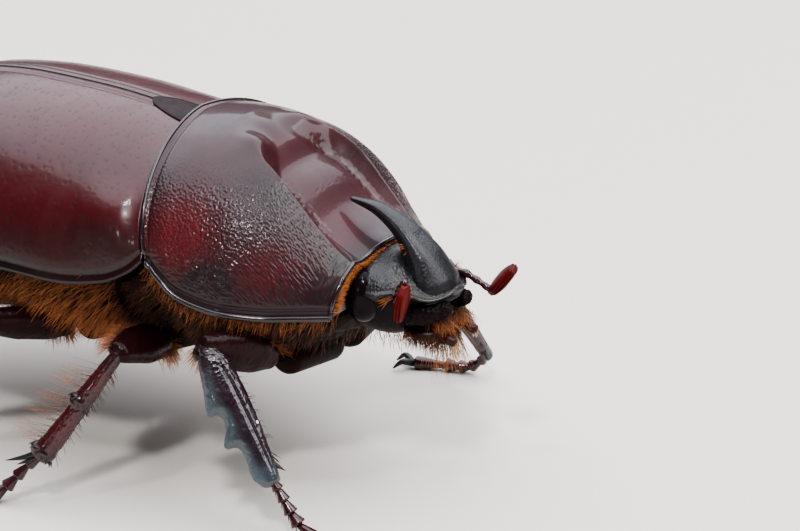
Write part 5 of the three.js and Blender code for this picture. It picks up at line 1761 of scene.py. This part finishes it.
# %% Hair of the head
def brush(name, root, spread_mm, direction, count, reach, radius, material=RUST_HAIR, jitter=0.2,
          droop=(0, 0, -0.15)):
    """A loose brush of hairs from one small patch."""
    roots = np.array(root) + random.uniform(-1, 1, (count, 3)) * np.array(spread_mm)
    directions = np.array(direction) + spread(count, jitter)
    places = 0.3 + 0.4 * random.random((count, 2))
    strands(name, roots, directions, random.uniform(*reach, count), radius, material, places, droop)


mouth_front = step(-15.9, -16.6, labium["grid"][..., 1]) * step(0.5, 0.0, labium["normal"][..., 2])
coat("hair_lip", labium, 130, mouth_front, (1.2, 2.4), (0, -0.1, -1.0), lift=0.3, radius=0.015,
     droop=(0, 0.05, -0.15))
# the hair at the sides of the lip, under the head, is the darker painted-shade hair
lip_sides = step(0.8, 0.3, labium["normal"][..., 2])
coat("hair_lip_sides", labium, 700, lip_sides, (0.3, 0.7), (0, -0.3, -0.5), lift=0.5, radius=0.016,
     material=SHADED_HAIR)
LINT_PLACES = ((-14.75, 13.35), (-15.0, 13.0), (-15.25, 12.6))  # along the horn's foot, y and z
PALP_TUFT_REACH = {"left": (0.25, 0.4), "right": (0.6, 0.95)}  # mm, the shortest and the longest hairs
for side, label in SIDES:
    brush(f"hair_jaw_{label}", (side * 0.7, -16.9, 9.75), (0.55, 0.75, 0.15), (side * 0.15, -0.5, -0.8),
          count=210, reach=(0.5, 1.1), radius=0.016, jitter=0.3)
    brush(f"palp_brush_{label}", (side * 1.05, -17.9, 8.7), (0.12, 0.1, 0.12), (side * 0.05, -0.2, -0.95),
          count=60, reach=PALP_TUFT_REACH[label], radius=0.024, material=PALE_TUFT, jitter=0.16)
    for k, (y, z) in enumerate(LINT_PLACES):
        brush(f"horn_lint_{label}_{k}", (side * 0.82, y, z), (0.06, 0.08, 0.12), (side * 0.8, 0.3, -0.2),
              count=12, reach=(0.12, 0.3), radius=0.03, jitter=0.5)
    brush(f"eye_tuft_{label}", (side * 2.85, -15.3, 11.3), (0.05, 0.08, 0.1), (side * 0.3, 0.95, -0.38),
          count=34, reach=(0.7, 1.0), radius=0.03, droop=(0, 0, 0))
    brush(f"feeler_hairs_{label}", (side * 2.25, -15.9, 11.25), (0.2, 0.25, 0.1), (side * 0.4, -0.5, 0.6),
          count=26, reach=(0.4, 0.85), radius=0.018, jitter=0.4)
    brush(f"cheek_hairs_{label}", (side * 1.9, -14.6, 8.8), (0.8, 1.2, 0.3), (side * 0.3, -0.35, -0.8),
          count=90, reach=(0.3, 0.6), radius=0.017, jitter=0.3)
print("pieces of hair so far:", len(hair_count))

# %% [markdown]
# The thighs have a soft fringe along both edges. The digging shins have a few stiff dark bristles, and
# the walking shins long soft ones behind and short dark ones in front. Their roots lie on the shin's own
# tracks, as its combs do, so they need no grid.

# %% Leg bristles
BRISTLE_SPREAD = 0.16


def shin_bristles(name, leg, count, place, edge, lean, reach, radius, material=DARK_BRISTLE):
    """Bristles from one edge of a shin: place is the range along it, edge is how far across, -1 to 1, and
    lean is how far they point outward and towards the foot."""
    start, end, along, wide, thin = shin_frame(leg)
    shape = SPADE if leg["digger"] else PROP
    t = random.uniform(*place, count)
    across = np.where(edge > 0, shape["outer"](t), -shape["inner"](t)) * abs(edge)
    through = shape["depth"](t) * math.sqrt(1 - edge ** 2) * random.choice([-1, 1], count)
    roots = start + (end - start) * t[:, None] + wide * across[:, None] + thin * through[:, None] * 0.9
    outward = wide * math.copysign(1, edge) * lean[0] + along * lean[1]
    places = np.stack([t, 0.5 + 0.4 * edge * np.ones(count)], -1) * 0.97
    strands(name, roots, outward + spread(count, BRISTLE_SPREAD), random.uniform(*reach, count), radius,
            material, places, (0, 0, 0), "leg")


for name, leg in LEGS.items():
    femur = femurs[name]
    edges = step(0.8, 0.97, np.abs((femur["normal"] * unit(np.array(leg["wide"]))).sum(-1)))
    coat(f"hair_femur_{name}", femur, 420, edges, (0.4, 1.0), (0, 0.1, -0.3), lift=0.8, radius=0.015,
         slot="leg")
    if leg["digger"]:
        shin_bristles(f"bristles_{name}", leg, 16, (0.25, 0.75), edge=-0.93, lean=(0.9, 0.5),
                      reach=(0.25, 0.5), radius=0.02)
        shin_bristles(f"tip_bristles_{name}", leg, 8, (0.82, 0.92), edge=-0.9, lean=(0.4, 1.0),
                      reach=(0.4, 0.8), radius=0.03)
    else:
        shin_bristles(f"bristles_{name}", leg, 60, (0.12, 0.92), edge=0.9, lean=(1.0, 0.35),
                      reach=(1.2, 2.5), radius=0.013, material=RUST_HAIR)
        shin_bristles(f"short_bristles_{name}", leg, 40, (0.1, 0.95), edge=-0.9, lean=(0.8, 0.6),
                      reach=(0.35, 0.8), radius=0.02)
print("hairs:", sum(hair_count.values()), "in", len(hair_count), "pieces")

# %% [markdown]
# The finished beetle may stand only slightly proud of its plain parts. The last cell gathers both boxes,
# the frame's and the finished beetle's.

# %% Finish
size = {"cad": [list(v) for v in CAD_BOX], "visual": [list(v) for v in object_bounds()]}
